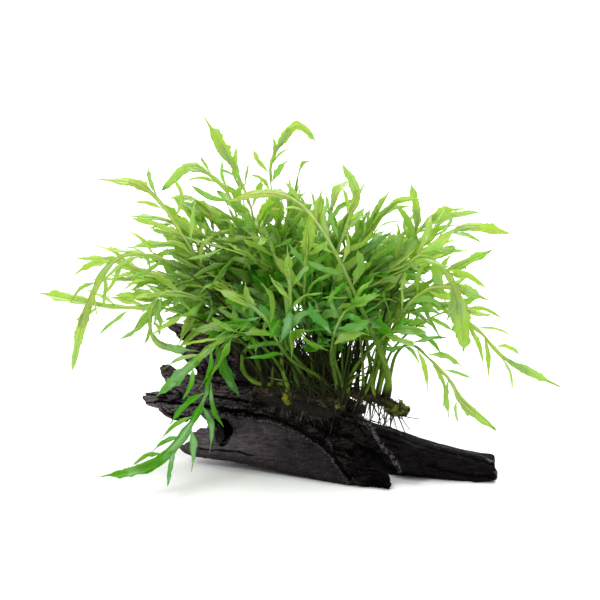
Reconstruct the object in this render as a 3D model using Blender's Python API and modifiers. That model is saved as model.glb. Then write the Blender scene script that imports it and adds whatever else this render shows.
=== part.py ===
"""African water fern on a piece of black driftwood, at its real size.

X runs along the wood from its broken left end to its blunt right tongue, Y runs away from the side
that shows the wood's front flap, and Z is up. The wood rests at Z = 0 on its flat underside.
Points are given from a spot below the front of the trough and moved to the origin at the end. The
fern creeps along the wood's trough as three rhizomes on a mat of roots, and each frond rises from
a rhizome as one thin solid: stalk, rachis, side leaflets and end leaflet.
"""

import math
import random

import bmesh
import bpy
from mathutils import Matrix, Vector
from mathutils.bvhtree import BVHTree

MM = 0.001
TOUCH_GAP = 0.3 * MM

# Driftwood: size of the working voxels, and how far the faces are thinned out afterwards.
WOOD_VOXEL = 2.0 * MM
WOOD_FACES_KEPT = 0.052
WOOD_ROUGHNESS = 2.0 * MM
WOOD_LUMP_SIZE = 12 * MM
RING_POINTS = 10
FLOOR_BLOCK = Vector((500, 300, 40)) * MM

# The spot on the wood's flat underside, under the plant's middle, that becomes the origin.
ORIGIN = Vector((10, 36, 0)) * MM

# Rhizomes and the mat of roots under them.
RHIZOME_RADIUS = 4.0 * MM
RHIZOME_BEVEL_RESOLUTION = 1
MAT_VOXEL = 3.0 * MM
MAT_FACES_KEPT = 0.2
MAT_GAP = 0.6 * MM
SHORTEST_EDGE = 0.05 * MM

# Fronds.
STALK_WIDTH = 2.4 * MM
STALK_THICKNESS = 2.0 * MM
LEAF_THICKNESS = 0.8 * MM
LEAF_SHARE = LEAF_THICKNESS / STALK_THICKNESS
BARE_STEPS = 3
SPINE_STEPS = 60
FOOT_SPACING = 4.8 * MM
FOOT_ROWS_DEG = (44, 0, -44)
FEET_TO_TRY = 12
STALKS_END = {"left": 1.0, "front": 1.0, "right": 0.78}  # the share of each rhizome that bears them
BLADE_END = 0.80
END_LEAFLET_WIDTH = 8.0 * MM
LEAFLET_FORWARD_DEG = 40
LEAFLET_WIDEST = 0.42
LEAFLET_DROOP = 0.16
LOWEST_LEAF = 3.0 * MM
CLEARANCE = 0.36 * MM

# Ways round a neighbour: a whole frond steps aside in X and Y, and a leaflet lifts or shortens.
SIDESTEPS = (
    (0, 0), (0, 6), (0, -6), (5, 3), (-5, 3), (0, 12), (0, -12), (6, -6), (-6, -6),
    (9, 9), (-9, 9), (0, 18), (0, -18), (12, 0), (-12, 0), (12, -12), (-12, -12),
)
LIFTS_DEG = (0, 12, -12, 24, -24, 36, -36, 48, -48)
SHORTENED = (1.0, 0.7, 0.5)

# The wood's solid lobes: rows of x, y, z, half height, half depth in mm, and how many degrees the
# lobe's top leans away from the front.
LOBES = {
    "heartwood": (
        (-54, 64, 26, 11, 6, 35),
        (-40, 58, 23, 18, 12, 35),
        (-12, 49, 20, 24, 14, 35),
        (20, 38, 17, 22, 14, 33),
        (46, 28, 14, 15.5, 16, 25),
        (78, 15, 10.5, 12.5, 17, 8),
        (106, 9, 7.5, 9.5, 14, 0),
        (126.5, 8, 6, 7.5, 12, 0),
    ),
    "tongue_lip": ((104, 14, 12, 5, 8, 10), (122, 12, 9.5, 4, 7, 10), (129, 11, 9, 2.5, 5, 10)),
    "tongue_stub": ((112, -3, 4.5, 5, 4, 0), (127, -5, 5, 5, 3, 0), (130.5, -5, 4.5, 3.5, 2, 0)),
    "flap_root": ((0, 14, 12, 12, 7, 38), (24, 6, 9, 9, 7, 36), (50, 0, 4, 4, 6, 25)),
    "rear_ridge": ((-66, 77, 70, 7, 4, 8), (-22, 66, 52, 11, 8, 12), (40, 46, 20, 7, 8, 14)),
    "rear_root": ((-46, 72, 28, 10, 8, 25), (2, 58, 15, 12, 11, 20), (60, 36, 7, 6, 9, 10)),
    "pit_back": ((-56, 47, 24, 4, 3, 30), (-42, 42, 24, 9, 5, 35), (-24, 33, 20, 9, 5, 35)),
}

# The wood's plates: how far back each lies at x = 0 and z = 0 in mm, how much further back it goes
# for each mm to the right and for each mm up, its half thickness, and its broken outline in x, z.
PLATES = {
    "back_wall": (
        (48, -0.33, 0.14, 5),
        ((-70, 85), (-76, 81), (-84, 82), (-87, 79), (-82, 76), (-81, 73), (-75, 70), (-74, 65),
         (-77, 62), (-75, 58), (-70, 57), (-64, 48), (-58, 20), (-20, 5), (60, 5), (85, 5),
         (86, 19), (64, 22), (43, 28), (33, 41), (20, 56), (0, 69), (-32, 77), (-45, 82),
         (-58, 84)),
    ),
    "middle_layer": (
        (14, -0.35, 0.7, 4.5),
        ((-88, 54), (-90, 49), (-88, 42), (-84, 41), (-91, 38), (-98, 37), (-103, 34), (-101, 30),
         (-93, 30), (-90, 26), (-86, 24), (-76, 23), (-74, 25), (-64, 29), (-50, 12), (10, 8),
         (78, 8), (76, 21), (52, 29), (26, 38), (0, 44), (-39, 47), (-62, 52), (-70, 49),
         (-77, 49), (-82, 51)),
    ),
    "front_flap": (
        (-1, -0.343, 0.9, 5),
        ((-64, 34), (-62, 30), (-56, 27), (-50, 28), (-43, 27), (-40, 21), (-43, 15), (-53, 14),
         (-58, 11), (-57, 9), (-23, 5), (20, 2), (40, 1), (57, 0), (60, 3), (56, 6), (40, 8),
         (26, 12), (16, 20), (0, 28), (-20, 33), (-45, 36), (-58, 36)),
    ),
    "tooth": (
        (1, -0.343, 0.9, 3.5),
        ((-61, 22), (-66, 22), (-70, 17), (-71, 12), (-64, 10), (-50, 9), (-45, 16), (-50, 22),
         (-57, 23)),
    ),
    "splinter": (
        (-1, -0.343, 0.9, 3.5),
        ((-75, 13), (-78, 10), (-72, 8), (-40, 7), (-40, 12), (-58, 13)),
    ),
}

# Hollows broken or rotted out of the wood: centre, radii in mm, and turn about Y in degrees.
HOLLOWS = {
    "flap_recess": ((37, 0, 18), (23, 14, 7), 28),
    "recess_depth": ((46, 12, 13), (16, 14, 8), 20),
    "under_arch": ((63, -8, 0), (6, 18, 4.5), 0),
    "left_cave": ((-66, 60, 4), (25, 17, 17), 0),
    "pit": ((-50, 38, 21), (9, 12, 4), -25),
    "trough": ((-34, 55, 60), (28, 6, 13), 6),
}

# The rhizomes' centre lines in mm, from left to right.
RHIZOMES = {
    "left": ((-42, 58, 62), (-24, 54, 61), (-6, 48, 59)),
    "front": ((-28, 48, 50), (-8, 39, 47.5), (12, 31, 46.5), (30, 26, 43.5)),
    "right": ((6, 42, 54), (24, 36, 51.5), (40, 32, 48.5), (56, 32, 44), (69, 31, 35)),
}

# The mat of roots between the rhizomes and the wood, as planks like the wood's lobes.
MAT_LOBES = {
    "under_left": ((-42, 58, 56, 3, 3, 0), (-22, 53, 53, 6, 5, 0), (-4, 47, 50, 6, 5, 0)),
    "under_front": ((-28, 47, 43, 3, 4, 0), (-8, 40, 40, 6, 5, 0), (12, 33, 37, 6, 5, 0),
                    (28, 29, 35, 4, 4, 0)),
    "under_right": ((0, 44, 46, 6, 5, 0), (18, 38, 43, 6, 5, 0), (34, 33, 41, 4, 4, 0)),
    "between": ((-20, 48, 46, 7, 7, 0), (4, 41, 43, 8, 7, 0), (24, 34, 40, 5, 5, 0)),
}

# The form of the wiry roots that hang under the right rhizome's end, in the same terms.
TUFT_LOBES = {
    "tuft": ((42, 30, 37, 6, 4, 0), (52, 28, 34, 7, 5, 0), (62, 27, 30, 7, 5, 0),
             (74, 27, 25, 3.5, 3, 0)),
}

# Fronds seen from the front, one row each: name, rhizome, place along it from 0 to 1, points that
# the rachis passes and its tip in mm, turn of the blade in degrees (0 faces up, 90 faces the
# front), number of side leaflets, and length of the longest one in mm.
FRONDS = (
    ("long_front_left", "front", 0.06,
     ((-38, 22, 88), (-50, 0, 90), (-56, -14, 76), (-64, -26, 57), (-76, -36, 39), (-96, -42, 23),
      (-127, -46, 17)), 60, 8, 30),
    ("short_front_left", "front", 0.34,
     ((-28, 14, 90), (-46, -4, 98), (-64, -10, 86), (-93, -22, 62)), 60, 6, 30),
    ("crown_left", "left", 0.92, ((-24, 50, 135), (-36, 52, 181), (-62, 56, 229)), 80, 6, 26),
    ("crown_right", "right", 0.10,
     ((-10, 44, 145), (-19, 42, 197), (-3, 40, 226), (12, 40, 215)), 85, 5, 24),
    ("upper_left", "left", 0.35,
     ((-58, 34, 120), (-73, 20, 155), (-99, 20, 190), (-132, 18, 197)), 75, 7, 36),
    ("arch_left", "left", 0.62,
     ((-38, 55, 150), (-49, 60, 180), (-71, 62, 194), (-90, 60, 179)), 45, 6, 28),
    ("middle_left", "left", 0.08, ((-60, 66, 120), (-78, 70, 139), (-114, 70, 138)), 60, 7, 32),
    ("far_left_high", "left", 0.22,
     ((-64, 40, 108), (-97, 30, 130), (-120, 28, 140), (-144, 26, 142)), 55, 8, 34),
    ("far_left_low", "front", 0.12,
     ((-54, 24, 95), (-84, 10, 114), (-117, 8, 116), (-168, 6, 126)), 50, 8, 34),
    ("drooping_left", "front", 0.25,
     ((-60, 14, 125), (-98, -6, 153), (-122, -10, 146), (-137, -12, 115), (-146, -14, 78)),
     70, 9, 28),
    ("curled_left", "front", 0.04,
     ((-60, 10, 112), (-97, -4, 128), (-108, -5, 110), (-102, -5, 93), (-76, -5, 88)), 80, 6, 18),
    ("over_wall", "left", 0.50,
     ((-34, 44, 120), (-42, 32, 141), (-54, 28, 126), (-66, 26, 110), (-80, 26, 82)), 70, 8, 28),
    ("level_left", "front", 0.48, ((-20, 20, 82), (-34, 10, 98), (-50, 6, 102), (-74, 4, 99)),
     55, 4, 28),
    ("hanging_right", "right", 0.78,
     ((56, 20, 110), (75, -8, 152), (94, -15, 142), (101, -17, 122), (105, -18, 94)), 75, 5, 36),
    ("far_right", "right", 0.90,
     ((58, 26, 95), (70, 14, 120), (97, 10, 110), (116, 8, 98), (133, 6, 80), (168, 4, 62)),
     60, 9, 30),
    ("low_right", "right", 1.0,
     ((62, 16, 80), (72, -2, 92), (86, -8, 81), (97, -10, 70), (103, -12, 57), (126, -14, 38)),
     60, 9, 26),
    ("level_right", "right", 0.70, ((50, 12, 88), (62, 2, 100), (81, -2, 100)), 55, 4, 26),
    ("upper_right", "right", 0.60,
     ((46, 32, 100), (62, 26, 128), (85, 25, 152), (107, 24, 163), (135, 22, 160)), 55, 8, 34),
    ("right_behind", "right", 0.52, ((50, 50, 100), (85, 46, 122), (104, 46, 133), (125, 46, 143)),
     50, 7, 32),
    ("right_front", "right", 0.84, ((60, 10, 100), (78, -6, 128), (98, -10, 132), (121, -12, 124)),
     50, 7, 34),
    ("right_high", "right", 0.44,
     ((42, 62, 105), (60, 68, 133), (78, 70, 150), (94, 70, 162), (108, 68, 165)), 60, 7, 30),
    ("spear_right", "right", 0.36, ((50, 58, 110), (73, 60, 148), (76, 60, 166), (72, 60, 185)),
     85, 4, 24),
    ("crown_middle", "right", 0.28,
     ((18, 30, 110), (24, 12, 150), (31, 10, 171), (36, 10, 189), (27, 10, 208)), 85, 8, 32),
    ("leaning_back", "right", 0.95,
     ((54, 4, 80), (38, -10, 121), (20, -12, 160), (0, -10, 187), (-22, -8, 194), (-46, -8, 188)),
     50, 10, 30),
    ("short_middle", "right", 0.18, ((8, 32, 120), (10, 26, 160), (14, 24, 188)), 75, 6, 24),
    ("front_middle", "front", 0.62, ((-8, 4, 90), (-6, -16, 125), (-8, -32, 165)), 80, 7, 38),
    ("front_middle_left", "front", 0.76, ((-8, -2, 84), (-26, -24, 120), (-54, -40, 140)),
     60, 7, 36),
    ("front_middle_right", "front", 0.92, ((20, 2, 86), (28, -20, 118), (50, -42, 136)), 55, 7, 36),
    ("front_low_left", "front", 0.56, ((-14, 8, 88), (-18, -12, 110), (-24, -38, 106)), 55, 6, 34),
    ("front_low_right", "front", 1.0, ((22, 8, 84), (38, -8, 106), (60, -28, 104)), 55, 6, 34),
    ("front_top", "right", 0.12, ((6, 14, 112), (10, -4, 150), (12, -20, 184)), 80, 7, 36),
)

# The inner and rear fronds follow a rule instead: they fan out round the middle of the plant, and
# each one tries a few ways until it finds room.
INNER_FRONDS = 18
INNER_TRIES = 400
GOLDEN_ANGLE = math.radians(137.5)
INNER_STAGES = ((0.14, 0.5), (0.56, 0.93), (1.0, 1.0))
INNER_REACH = (16 * MM, 104 * MM)
INNER_HEIGHT = (196 * MM, 120 * MM)
INNER_DEPTH_SHARE = 1.0
INNER_LEAFLETS = 5
INNER_LEAFLET_LENGTH = 34 * MM


def clear_scene():
    for obj in list(bpy.data.objects):
        bpy.data.objects.remove(obj)


def material(name, colour, roughness):
    made = bpy.data.materials.new(name)
    made.use_nodes = True
    shader = made.node_tree.nodes["Principled BSDF"]
    shader.inputs["Base Color"].default_value = (*colour, 1)
    shader.inputs["Roughness"].default_value = roughness
    return made


def add_object(name, bm, collection, finish=None):
    mesh = bpy.data.meshes.new(name)
    bm.to_mesh(mesh)
    bm.free()
    obj = bpy.data.objects.new(name, mesh)
    collection.objects.link(obj)
    if finish:
        obj.data.materials.append(finish)
    return obj


def modifier(obj, kind, **settings):
    added = obj.modifiers.new(kind.title(), kind)
    for key, value in settings.items():
        setattr(added, key, value)
    return added


def bake(obj):
    """Replaces an object's modifiers by the mesh that they make."""
    bpy.context.view_layer.update()
    graph = bpy.context.evaluated_depsgraph_get()
    mesh = bpy.data.meshes.new_from_object(obj.evaluated_get(graph))
    finishes = list(obj.data.materials)
    obj.modifiers.clear()
    obj.data = mesh
    mesh.materials.clear()
    for finish in finishes:
        mesh.materials.append(finish)


# Wood and root mat: planks and plates melted together


def plank_ring(bm, station):
    """A closed ring across the plank, rounder than a box and flatter than an ellipse."""
    x, y, z, half_height, half_depth, lean = station
    lean = math.radians(lean)
    up = Vector((0, math.sin(lean), math.cos(lean)))
    back = Vector((0, math.cos(lean), -math.sin(lean)))
    ring = []
    for i in range(RING_POINTS):
        turn = math.tau * i / RING_POINTS
        rise = math.copysign(abs(math.sin(turn)) ** 0.7, math.sin(turn))
        away = math.copysign(abs(math.cos(turn)) ** 0.7, math.cos(turn))
        point = Vector((x, y, z)) + up * half_height * rise + back * half_depth * away
        ring.append(bm.verts.new(point * MM))
    return ring


def add_planks(bm, lobes):
    for stations in lobes.values():
        rings = [plank_ring(bm, station) for station in stations]
        for first, second in zip(rings, rings[1:]):
            for i in range(RING_POINTS):
                j = (i + 1) % RING_POINTS
                bm.faces.new((first[i], first[j], second[j], second[i]))
        bm.faces.new(rings[0][::-1])
        bm.faces.new(rings[-1])
    bmesh.ops.recalc_face_normals(bm, faces=bm.faces)


def add_plate(bm, plane, outline):
    """A slab with a broken outline, as thick as the plate, lying in the plate's plane."""
    back, by_x, by_z, half = plane
    way = Vector((-by_x, 1, -by_z)).normalized() * half
    front, rear = [], []
    for x, z in outline:
        point = Vector((x, back + by_x * x + by_z * z, z))
        front.append(bm.verts.new((point - way) * MM))
        rear.append(bm.verts.new((point + way) * MM))
    bm.faces.new(front)
    bm.faces.new(rear[::-1])
    for i in range(len(front)):
        bm.faces.new((front[i - 1], rear[i - 1], rear[i], front[i]))


def hollow_cutter(name, centre, radii, turn, cutters):
    bm = bmesh.new()
    bmesh.ops.create_uvsphere(bm, u_segments=16, v_segments=10, radius=1)
    cutter = add_object("cut_" + name, bm, cutters)
    cutter.scale = Vector(radii) * MM
    cutter.location = Vector(centre) * MM
    cutter.rotation_euler.y = math.radians(turn)
    return hide_helper(cutter)


def hide_helper(obj):
    obj.hide_render = True
    obj.display_type = "WIRE"
    return obj


def cut(obj, cutter):
    modifier(obj, "BOOLEAN", object=cutter, operation="DIFFERENCE")


def build_wood(parts, cutters, finish):
    bm = bmesh.new()
    add_planks(bm, LOBES)
    for plane, outline in PLATES.values():
        add_plate(bm, plane, outline)
    bmesh.ops.recalc_face_normals(bm, faces=bm.faces)
    wood = add_object("driftwood", bm, parts, finish)
    modifier(wood, "REMESH", mode="VOXEL", voxel_size=WOOD_VOXEL)
    bake(wood)
    for name, (centre, radii, turn) in HOLLOWS.items():
        cut(wood, hollow_cutter(name, centre, radii, turn, cutters))
    lumps = bpy.data.textures.new("wood_lumps", "CLOUDS")
    lumps.noise_scale = WOOD_LUMP_SIZE
    modifier(wood, "REMESH", mode="VOXEL", voxel_size=WOOD_VOXEL)
    modifier(wood, "DISPLACE", texture=lumps, texture_coords="LOCAL", strength=WOOD_ROUGHNESS)
    modifier(wood, "DECIMATE", ratio=WOOD_FACES_KEPT)
    floor = bmesh.new()
    bmesh.ops.create_cube(floor, size=1)
    block = add_object("cut_floor", floor, cutters)
    block.scale = FLOOR_BLOCK
    block.location.z = -FLOOR_BLOCK.z / 2
    cut(wood, hide_helper(block))
    bake(wood)
    return wood


def keep_largest_body(obj):
    """Removes the crumbs and the shortest edges that a cut leaves."""
    bm = bmesh.new()
    bm.from_mesh(obj.data)
    left, bodies = set(bm.verts), []
    while left:
        body, edge = set(), [left.pop()]
        while edge:
            vert = edge.pop()
            body.add(vert)
            fresh = {e.other_vert(vert) for e in vert.link_edges} & left
            left -= fresh
            edge.extend(fresh)
        bodies.append(body)
    largest = max(bodies, key=len)
    bmesh.ops.delete(bm, geom=[v for v in bm.verts if v not in largest], context="VERTS")
    bmesh.ops.remove_doubles(bm, verts=bm.verts, dist=SHORTEST_EDGE)
    bm.to_mesh(obj.data)
    bm.free()


def grown_copy(obj, cutters):
    """A swollen copy, which cuts a neighbour clear of the original."""
    copy = bpy.data.objects.new("cut_by_" + obj.name, obj.data.copy())
    cutters.objects.link(copy)
    modifier(copy, "DISPLACE", strength=MAT_GAP, mid_level=0)
    bake(copy)
    return hide_helper(copy)


def build_mat(name, lobes, neighbours, parts, cutters, finish):
    bm = bmesh.new()
    add_planks(bm, lobes)
    mat = add_object(name, bm, parts, finish)
    modifier(mat, "REMESH", mode="VOXEL", voxel_size=MAT_VOXEL)
    modifier(mat, "DECIMATE", ratio=MAT_FACES_KEPT)
    for neighbour in neighbours:
        cut(mat, grown_copy(neighbour, cutters))
    bake(mat)
    keep_largest_body(mat)
    return mat


# Curves through points


def smooth_line(points, first_way=None):
    """Evenly spaced points on a Catmull-Rom curve through these points."""
    points = [Vector(p) for p in points]
    reach = (points[1] - points[0]).length
    before = points[0] - (first_way * reach if first_way else points[1] - points[0])
    ends = [before, *points, 2 * points[-1] - points[-2]]
    fine = []
    for a, b, c, d in zip(ends, ends[1:], ends[2:], ends[3:]):
        for step in range(SPINE_STEPS):
            t = step / SPINE_STEPS
            fine.append(
                0.5 * (2 * b + (c - a) * t + (2 * a - 5 * b + 4 * c - d) * t**2
                       + (3 * b - a - 3 * c + d) * t**3)
            )
    fine.append(points[-1])
    run = [0.0]
    for a, b in zip(fine, fine[1:]):
        run.append(run[-1] + (b - a).length)
    line, i = [], 0
    for step in range(SPINE_STEPS + 1):
        wanted = run[-1] * step / SPINE_STEPS
        while i < len(fine) - 2 and run[i + 1] < wanted:
            i += 1
        share = (wanted - run[i]) / max(run[i + 1] - run[i], 1e-9)
        line.append(fine[i].lerp(fine[i + 1], min(share, 1)))
    return line


def at(line, share):
    place = min(max(share, 0), 1) * (len(line) - 1)
    i = min(int(place), len(line) - 2)
    return line[i].lerp(line[i + 1], place - i)


def heading(line, share):
    step = 1.5 / SPINE_STEPS
    return (at(line, share + step) - at(line, share - step)).normalized()


def length_of(line):
    return sum((b - a).length for a, b in zip(line, line[1:]))


# Rhizomes


def build_rhizome(name, parts, finish):
    curve = bpy.data.curves.new(name, "CURVE")
    curve.dimensions = "3D"
    curve.bevel_depth = RHIZOME_RADIUS
    curve.bevel_resolution = RHIZOME_BEVEL_RESOLUTION
    curve.use_fill_caps = True
    line = smooth_line([Vector(p) * MM for p in RHIZOMES[name]])
    knots = line[::5]
    spline = curve.splines.new("POLY")
    spline.points.add(len(knots) - 1)
    for i, (point, knot) in enumerate(zip(spline.points, knots)):
        point.co = (*knot, 1)
        end = min(i, len(knots) - 1 - i)
        point.radius = 0.62 if end == 0 else 0.94 + 0.10 * (-1) ** i
    source = bpy.data.objects.new("rhizome_source", curve)
    parts.objects.link(source)
    bpy.context.view_layer.update()
    mesh = bpy.data.meshes.new_from_object(source.evaluated_get(bpy.context.evaluated_depsgraph_get()))
    bpy.data.objects.remove(source)
    bm = bmesh.new()
    bm.from_mesh(mesh)
    bmesh.ops.remove_doubles(bm, verts=bm.verts, dist=0.01 * MM)
    rhizome = add_object("rhizome_" + name, bm, parts, finish)
    rhizome.data.materials.clear()
    rhizome.data.materials.append(finish)
    return rhizome, line


# Fronds: where each one stands and the ways that it may take


def foot_places(line, end):
    """The places for stalks along a rhizome up to this share of it, as pairs of share and row."""
    count = int(length_of(line) * end / FOOT_SPACING)
    return [((i + 0.5) / count * end, row) for i in range(count) for row in FOOT_ROWS_DEG]


def foot_on(line, place):
    """Where a stalk leaves the rhizome, and the way it leaves."""
    share, row = place
    along = heading(line, share)
    up = (Vector((0, 0, 1)) - along * along.z).normalized()
    outward = up + along.cross(up) * -math.tan(math.radians(row))
    outward.normalize()
    start = RHIZOME_RADIUS * 1.06 + TOUCH_GAP + STALK_THICKNESS / 2
    return at(line, share) + outward * start, (outward + up).normalized()


def face_of_turn(turn):
    turn = math.radians(turn)
    return Vector((0, -math.sin(turn), math.cos(turn)))


def hand_placed_ways(line, end, wanted, points):
    """The nearest feet that lean with the frond, for each step aside of its way points."""
    wanted = wanted * end
    lean = points[0][1] - at(line, wanted).y / MM
    row = max(FOOT_ROWS_DEG[-1], min(FOOT_ROWS_DEG[0], -2 * lean))
    places = sorted(foot_places(line, end), key=lambda p: abs(p[0] - wanted) + abs(p[1] - row) / 200)
    ways = []
    for sidestep in SIDESTEPS:
        aside = Vector((*sidestep, 0)) * MM
        moved = [Vector(p) * MM + aside * min(1, 0.5 + 0.5 * i) for i, p in enumerate(points)]
        ways += [(foot_on(line, place), moved) for place in places[:FEET_TO_TRY]]
    return ways


def inner_ways(number, lines):
    """Tries for an inner frond: a foot on the side where it leans, and a way up and out."""
    draw = random.Random(number)
    share = math.sqrt((number + 0.5) / INNER_FRONDS)
    ways = []
    for _ in range(INNER_TRIES):
        angle = GOLDEN_ANGLE * number + draw.uniform(-0.7, 0.7)
        out = Vector((math.cos(angle), math.sin(angle) * INNER_DEPTH_SHARE, 0))
        reach = INNER_REACH[0] + (INNER_REACH[1] - INNER_REACH[0]) * share + draw.uniform(-9, 9) * MM
        height = INNER_HEIGHT[0] + (INNER_HEIGHT[1] - INNER_HEIGHT[0]) * share**1.5
        height += draw.uniform(-18, 18) * MM
        nearest = "left" if out.x < -0.25 else "right"
        if out.y < -0.35 and out.x < 0.6:
            nearest = "front"
        chosen = draw.choice((nearest, nearest, "left", "right"))
        line = lines[chosen]
        foot, leaving = foot_on(line, draw.choice(foot_places(line, STALKS_END[chosen])))
        rise = Vector((0, 0, height - foot.z))
        points = [foot + out * reach * far + rise * high for far, high in INNER_STAGES]
        ways.append(((foot, leaving), points))
    return ways


def frond_list(lines):
    """Every frond: name, ways to try, face, number of leaflets and length of the longest."""
    fronds = []
    for name, rhizome, wanted, points, turn, leaflets, longest in FRONDS:
        ways = hand_placed_ways(lines[rhizome], STALKS_END[rhizome], wanted, points)
        fronds.append((name, ways, face_of_turn(turn), leaflets, longest * MM))
    for number in range(INNER_FRONDS):
        draw = random.Random(-1 - number)
        angle = GOLDEN_ANGLE * number
        face = Vector((-math.cos(angle), -math.sin(angle), 0.55)).normalized()
        face = (face + Vector([draw.uniform(-0.45, 0.45) for _ in range(3)])).normalized()
        longest = INNER_LEAFLET_LENGTH * draw.uniform(0.88, 1.12)
        fronds.append((f"inner_{number + 1:02d}", inner_ways(number, lines), face, INNER_LEAFLETS,
                       longest))
    return fronds


def blade_axes(line, share, face):
    """Along the rachis, to the right of it in the blade, and out of the blade's face."""
    along = heading(line, share)
    side = along.cross(face)
    side = side.normalized() if side.length > 0.05 else along.orthogonal().normalized()
    return along, side, side.cross(along)


def blade_start(leaflets, longest, line):
    """The share of the rachis below the first leaflet: about half of it is bare stalk."""
    span = leaflets * longest * 0.27
    return max(0.34, BLADE_END - span / length_of(line))


def leaflet_plan(line, leaflets, longest, draw):
    """Each side leaflet as start share, end share, side (1 or -1), length, width and sideways bend."""
    first = blade_start(leaflets, longest, line)
    step = (BLADE_END - first) / leaflets
    side = draw.choice((-1, 1))
    plan = []
    for i in range(leaflets):
        t = (i + 0.5) / leaflets
        size = 0.62 + 0.38 * math.sin(math.pi * min(1, 0.18 + 0.95 * t))
        length = longest * size * draw.uniform(0.84, 1.08)
        width = (0.16 * length + 2.0 * MM) * draw.uniform(0.9, 1.12)
        bend = draw.uniform(-0.22, 0.22)
        plan.append((first + step * i, first + step * (i + 1), side, length, width, bend))
        side = -side
    return plan


def leaflet_points(line, face, leaf, lift, shortened):
    """Rows of two points from the leaflet's foot to its widest part, and its tip."""
    start, end, side, length, width, bend = leaf
    length = length * shortened
    middle = (start + end) / 2
    along, right, out = blade_axes(line, middle, face)
    right = right * side
    forward = math.radians(LEAFLET_FORWARD_DEG - 12 * middle)
    way = along * math.cos(forward) + right * math.sin(forward)
    across = right * math.cos(forward) - along * math.sin(forward)
    lift = math.radians(lift)
    way = way * math.cos(lift) + out * math.sin(lift)
    root = at(line, middle) + right * STALK_WIDTH / 2
    sag = (out * bend - Vector((0, 0, LEAFLET_DROOP))) * length

    def place(share, offset):
        return root + way * length * share + sag * share**2 + across * offset

    widest = [place(LEAFLET_WIDEST, width / 2), place(LEAFLET_WIDEST, -width / 2)]
    return widest, place(1, 0), out


# Fronds: as thin sheets, tested against what is there already


class Taken:
    """The faces already in place, which new sheets must stay clear of."""

    def __init__(self):
        self.points, self.faces, self.tree = [], [], None

    def add(self, points, faces):
        start = len(self.points)
        self.points += points
        self.faces += [tuple(i + start for i in face) for face in faces]
        self.tree = None

    def add_object(self, obj):
        self.add([v.co.copy() for v in obj.data.vertices], [tuple(p.vertices) for p in obj.data.polygons])

    def clear_of(self, points, faces):
        if min(p.z for p in points) < LOWEST_LEAF:
            return False
        if self.tree is None:
            self.tree = BVHTree.FromPolygons(self.points, self.faces)
        return not (self.faces and self.tree.overlap(BVHTree.FromPolygons(points, faces)))


def thick(points, faces, outs, halves):
    """The sheet as a closed slab, for testing the room that it takes."""
    count = len(points)
    stacked = []
    for layer in (-1, 0, 1):
        stacked += [p + out * half * layer for p, out, half in zip(points, outs, halves)]
    slab = [tuple(i + count * layer for i in face) for layer in range(3) for face in faces]
    edges = [(face[i - 1], face[i]) for face in faces for i in range(len(face))]
    for a, b in edges:
        if (b, a) not in edges:
            slab.append((a, b, b + 2 * count, a + 2 * count))
    return stacked, slab


def rachis_rings(line, face, plan):
    """Shares along the rachis, and half widths there. The last ring is the tip."""
    shares = [plan[0][0] * i / BARE_STEPS for i in range(BARE_STEPS)]
    shares += [leaf[0] for leaf in plan] + [BLADE_END]
    halves = [STALK_WIDTH / 2] * len(shares)
    shares += [BLADE_END + (1 - BLADE_END) * 0.45]
    halves += [END_LEAFLET_WIDTH / 2]
    return shares, halves


def rachis_sheet(line, face, plan):
    shares, halves = rachis_rings(line, face, plan)
    points, outs = [], []
    for share, half in zip(shares, halves):
        along, right, out = blade_axes(line, share, face)
        centre = at(line, share)
        points += [centre - right * half, centre + right * half]
        outs += [out, out]
    points.append(line[-1])
    outs.append(outs[-1])
    last = len(points) - 1
    faces = [(i, i + 1, i + 3, i + 2) for i in range(0, last - 2, 2)]
    faces.append((last - 2, last - 1, last))
    return points, faces, outs


def find_rachis(frond, solids, rachises):
    """The first way that takes the rachis clear of the wood and roots and of other rachises."""
    name, ways, face, leaflets, longest = frond
    for (foot, leaving), points in ways:
        line = smooth_line([foot, *points], first_way=leaving)
        plan = leaflet_plan(line, leaflets, longest, random.Random(name))
        sheet = rachis_sheet(line, face, plan)
        slab = thick(*sheet, [STALK_THICKNESS / 2 + CLEARANCE] * len(sheet[0]))
        if solids.clear_of(*slab) and rachises.clear_of(*slab):
            rachises.add(*slab)
            return line, plan, sheet, slab
    print("no room for", name)
    return None


def find_leaflet(line, face, leaf, neighbours):
    """The first lift and length that take a leaflet clear of all its neighbours."""
    for shortened in SHORTENED:
        for lift in LIFTS_DEG:
            widest, tip, out = leaflet_points(line, face, leaf, lift, shortened)
            along, right, _ = blade_axes(line, leaf[0], face)
            edge = right * leaf[2] * STALK_WIDTH / 2
            points = [at(line, leaf[0]) + edge, at(line, leaf[1]) + edge, widest[1], widest[0], tip]
            faces = [(0, 1, 2, 3), (3, 2, 4)]
            halves = [STALK_THICKNESS / 2 + CLEARANCE] * 2 + [LEAF_THICKNESS / 2 + CLEARANCE] * 3
            slab = thick(points, faces, [out] * 5, halves)
            if all(taken.clear_of(*slab) for taken in neighbours):
                return points, slab
    return None


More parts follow.
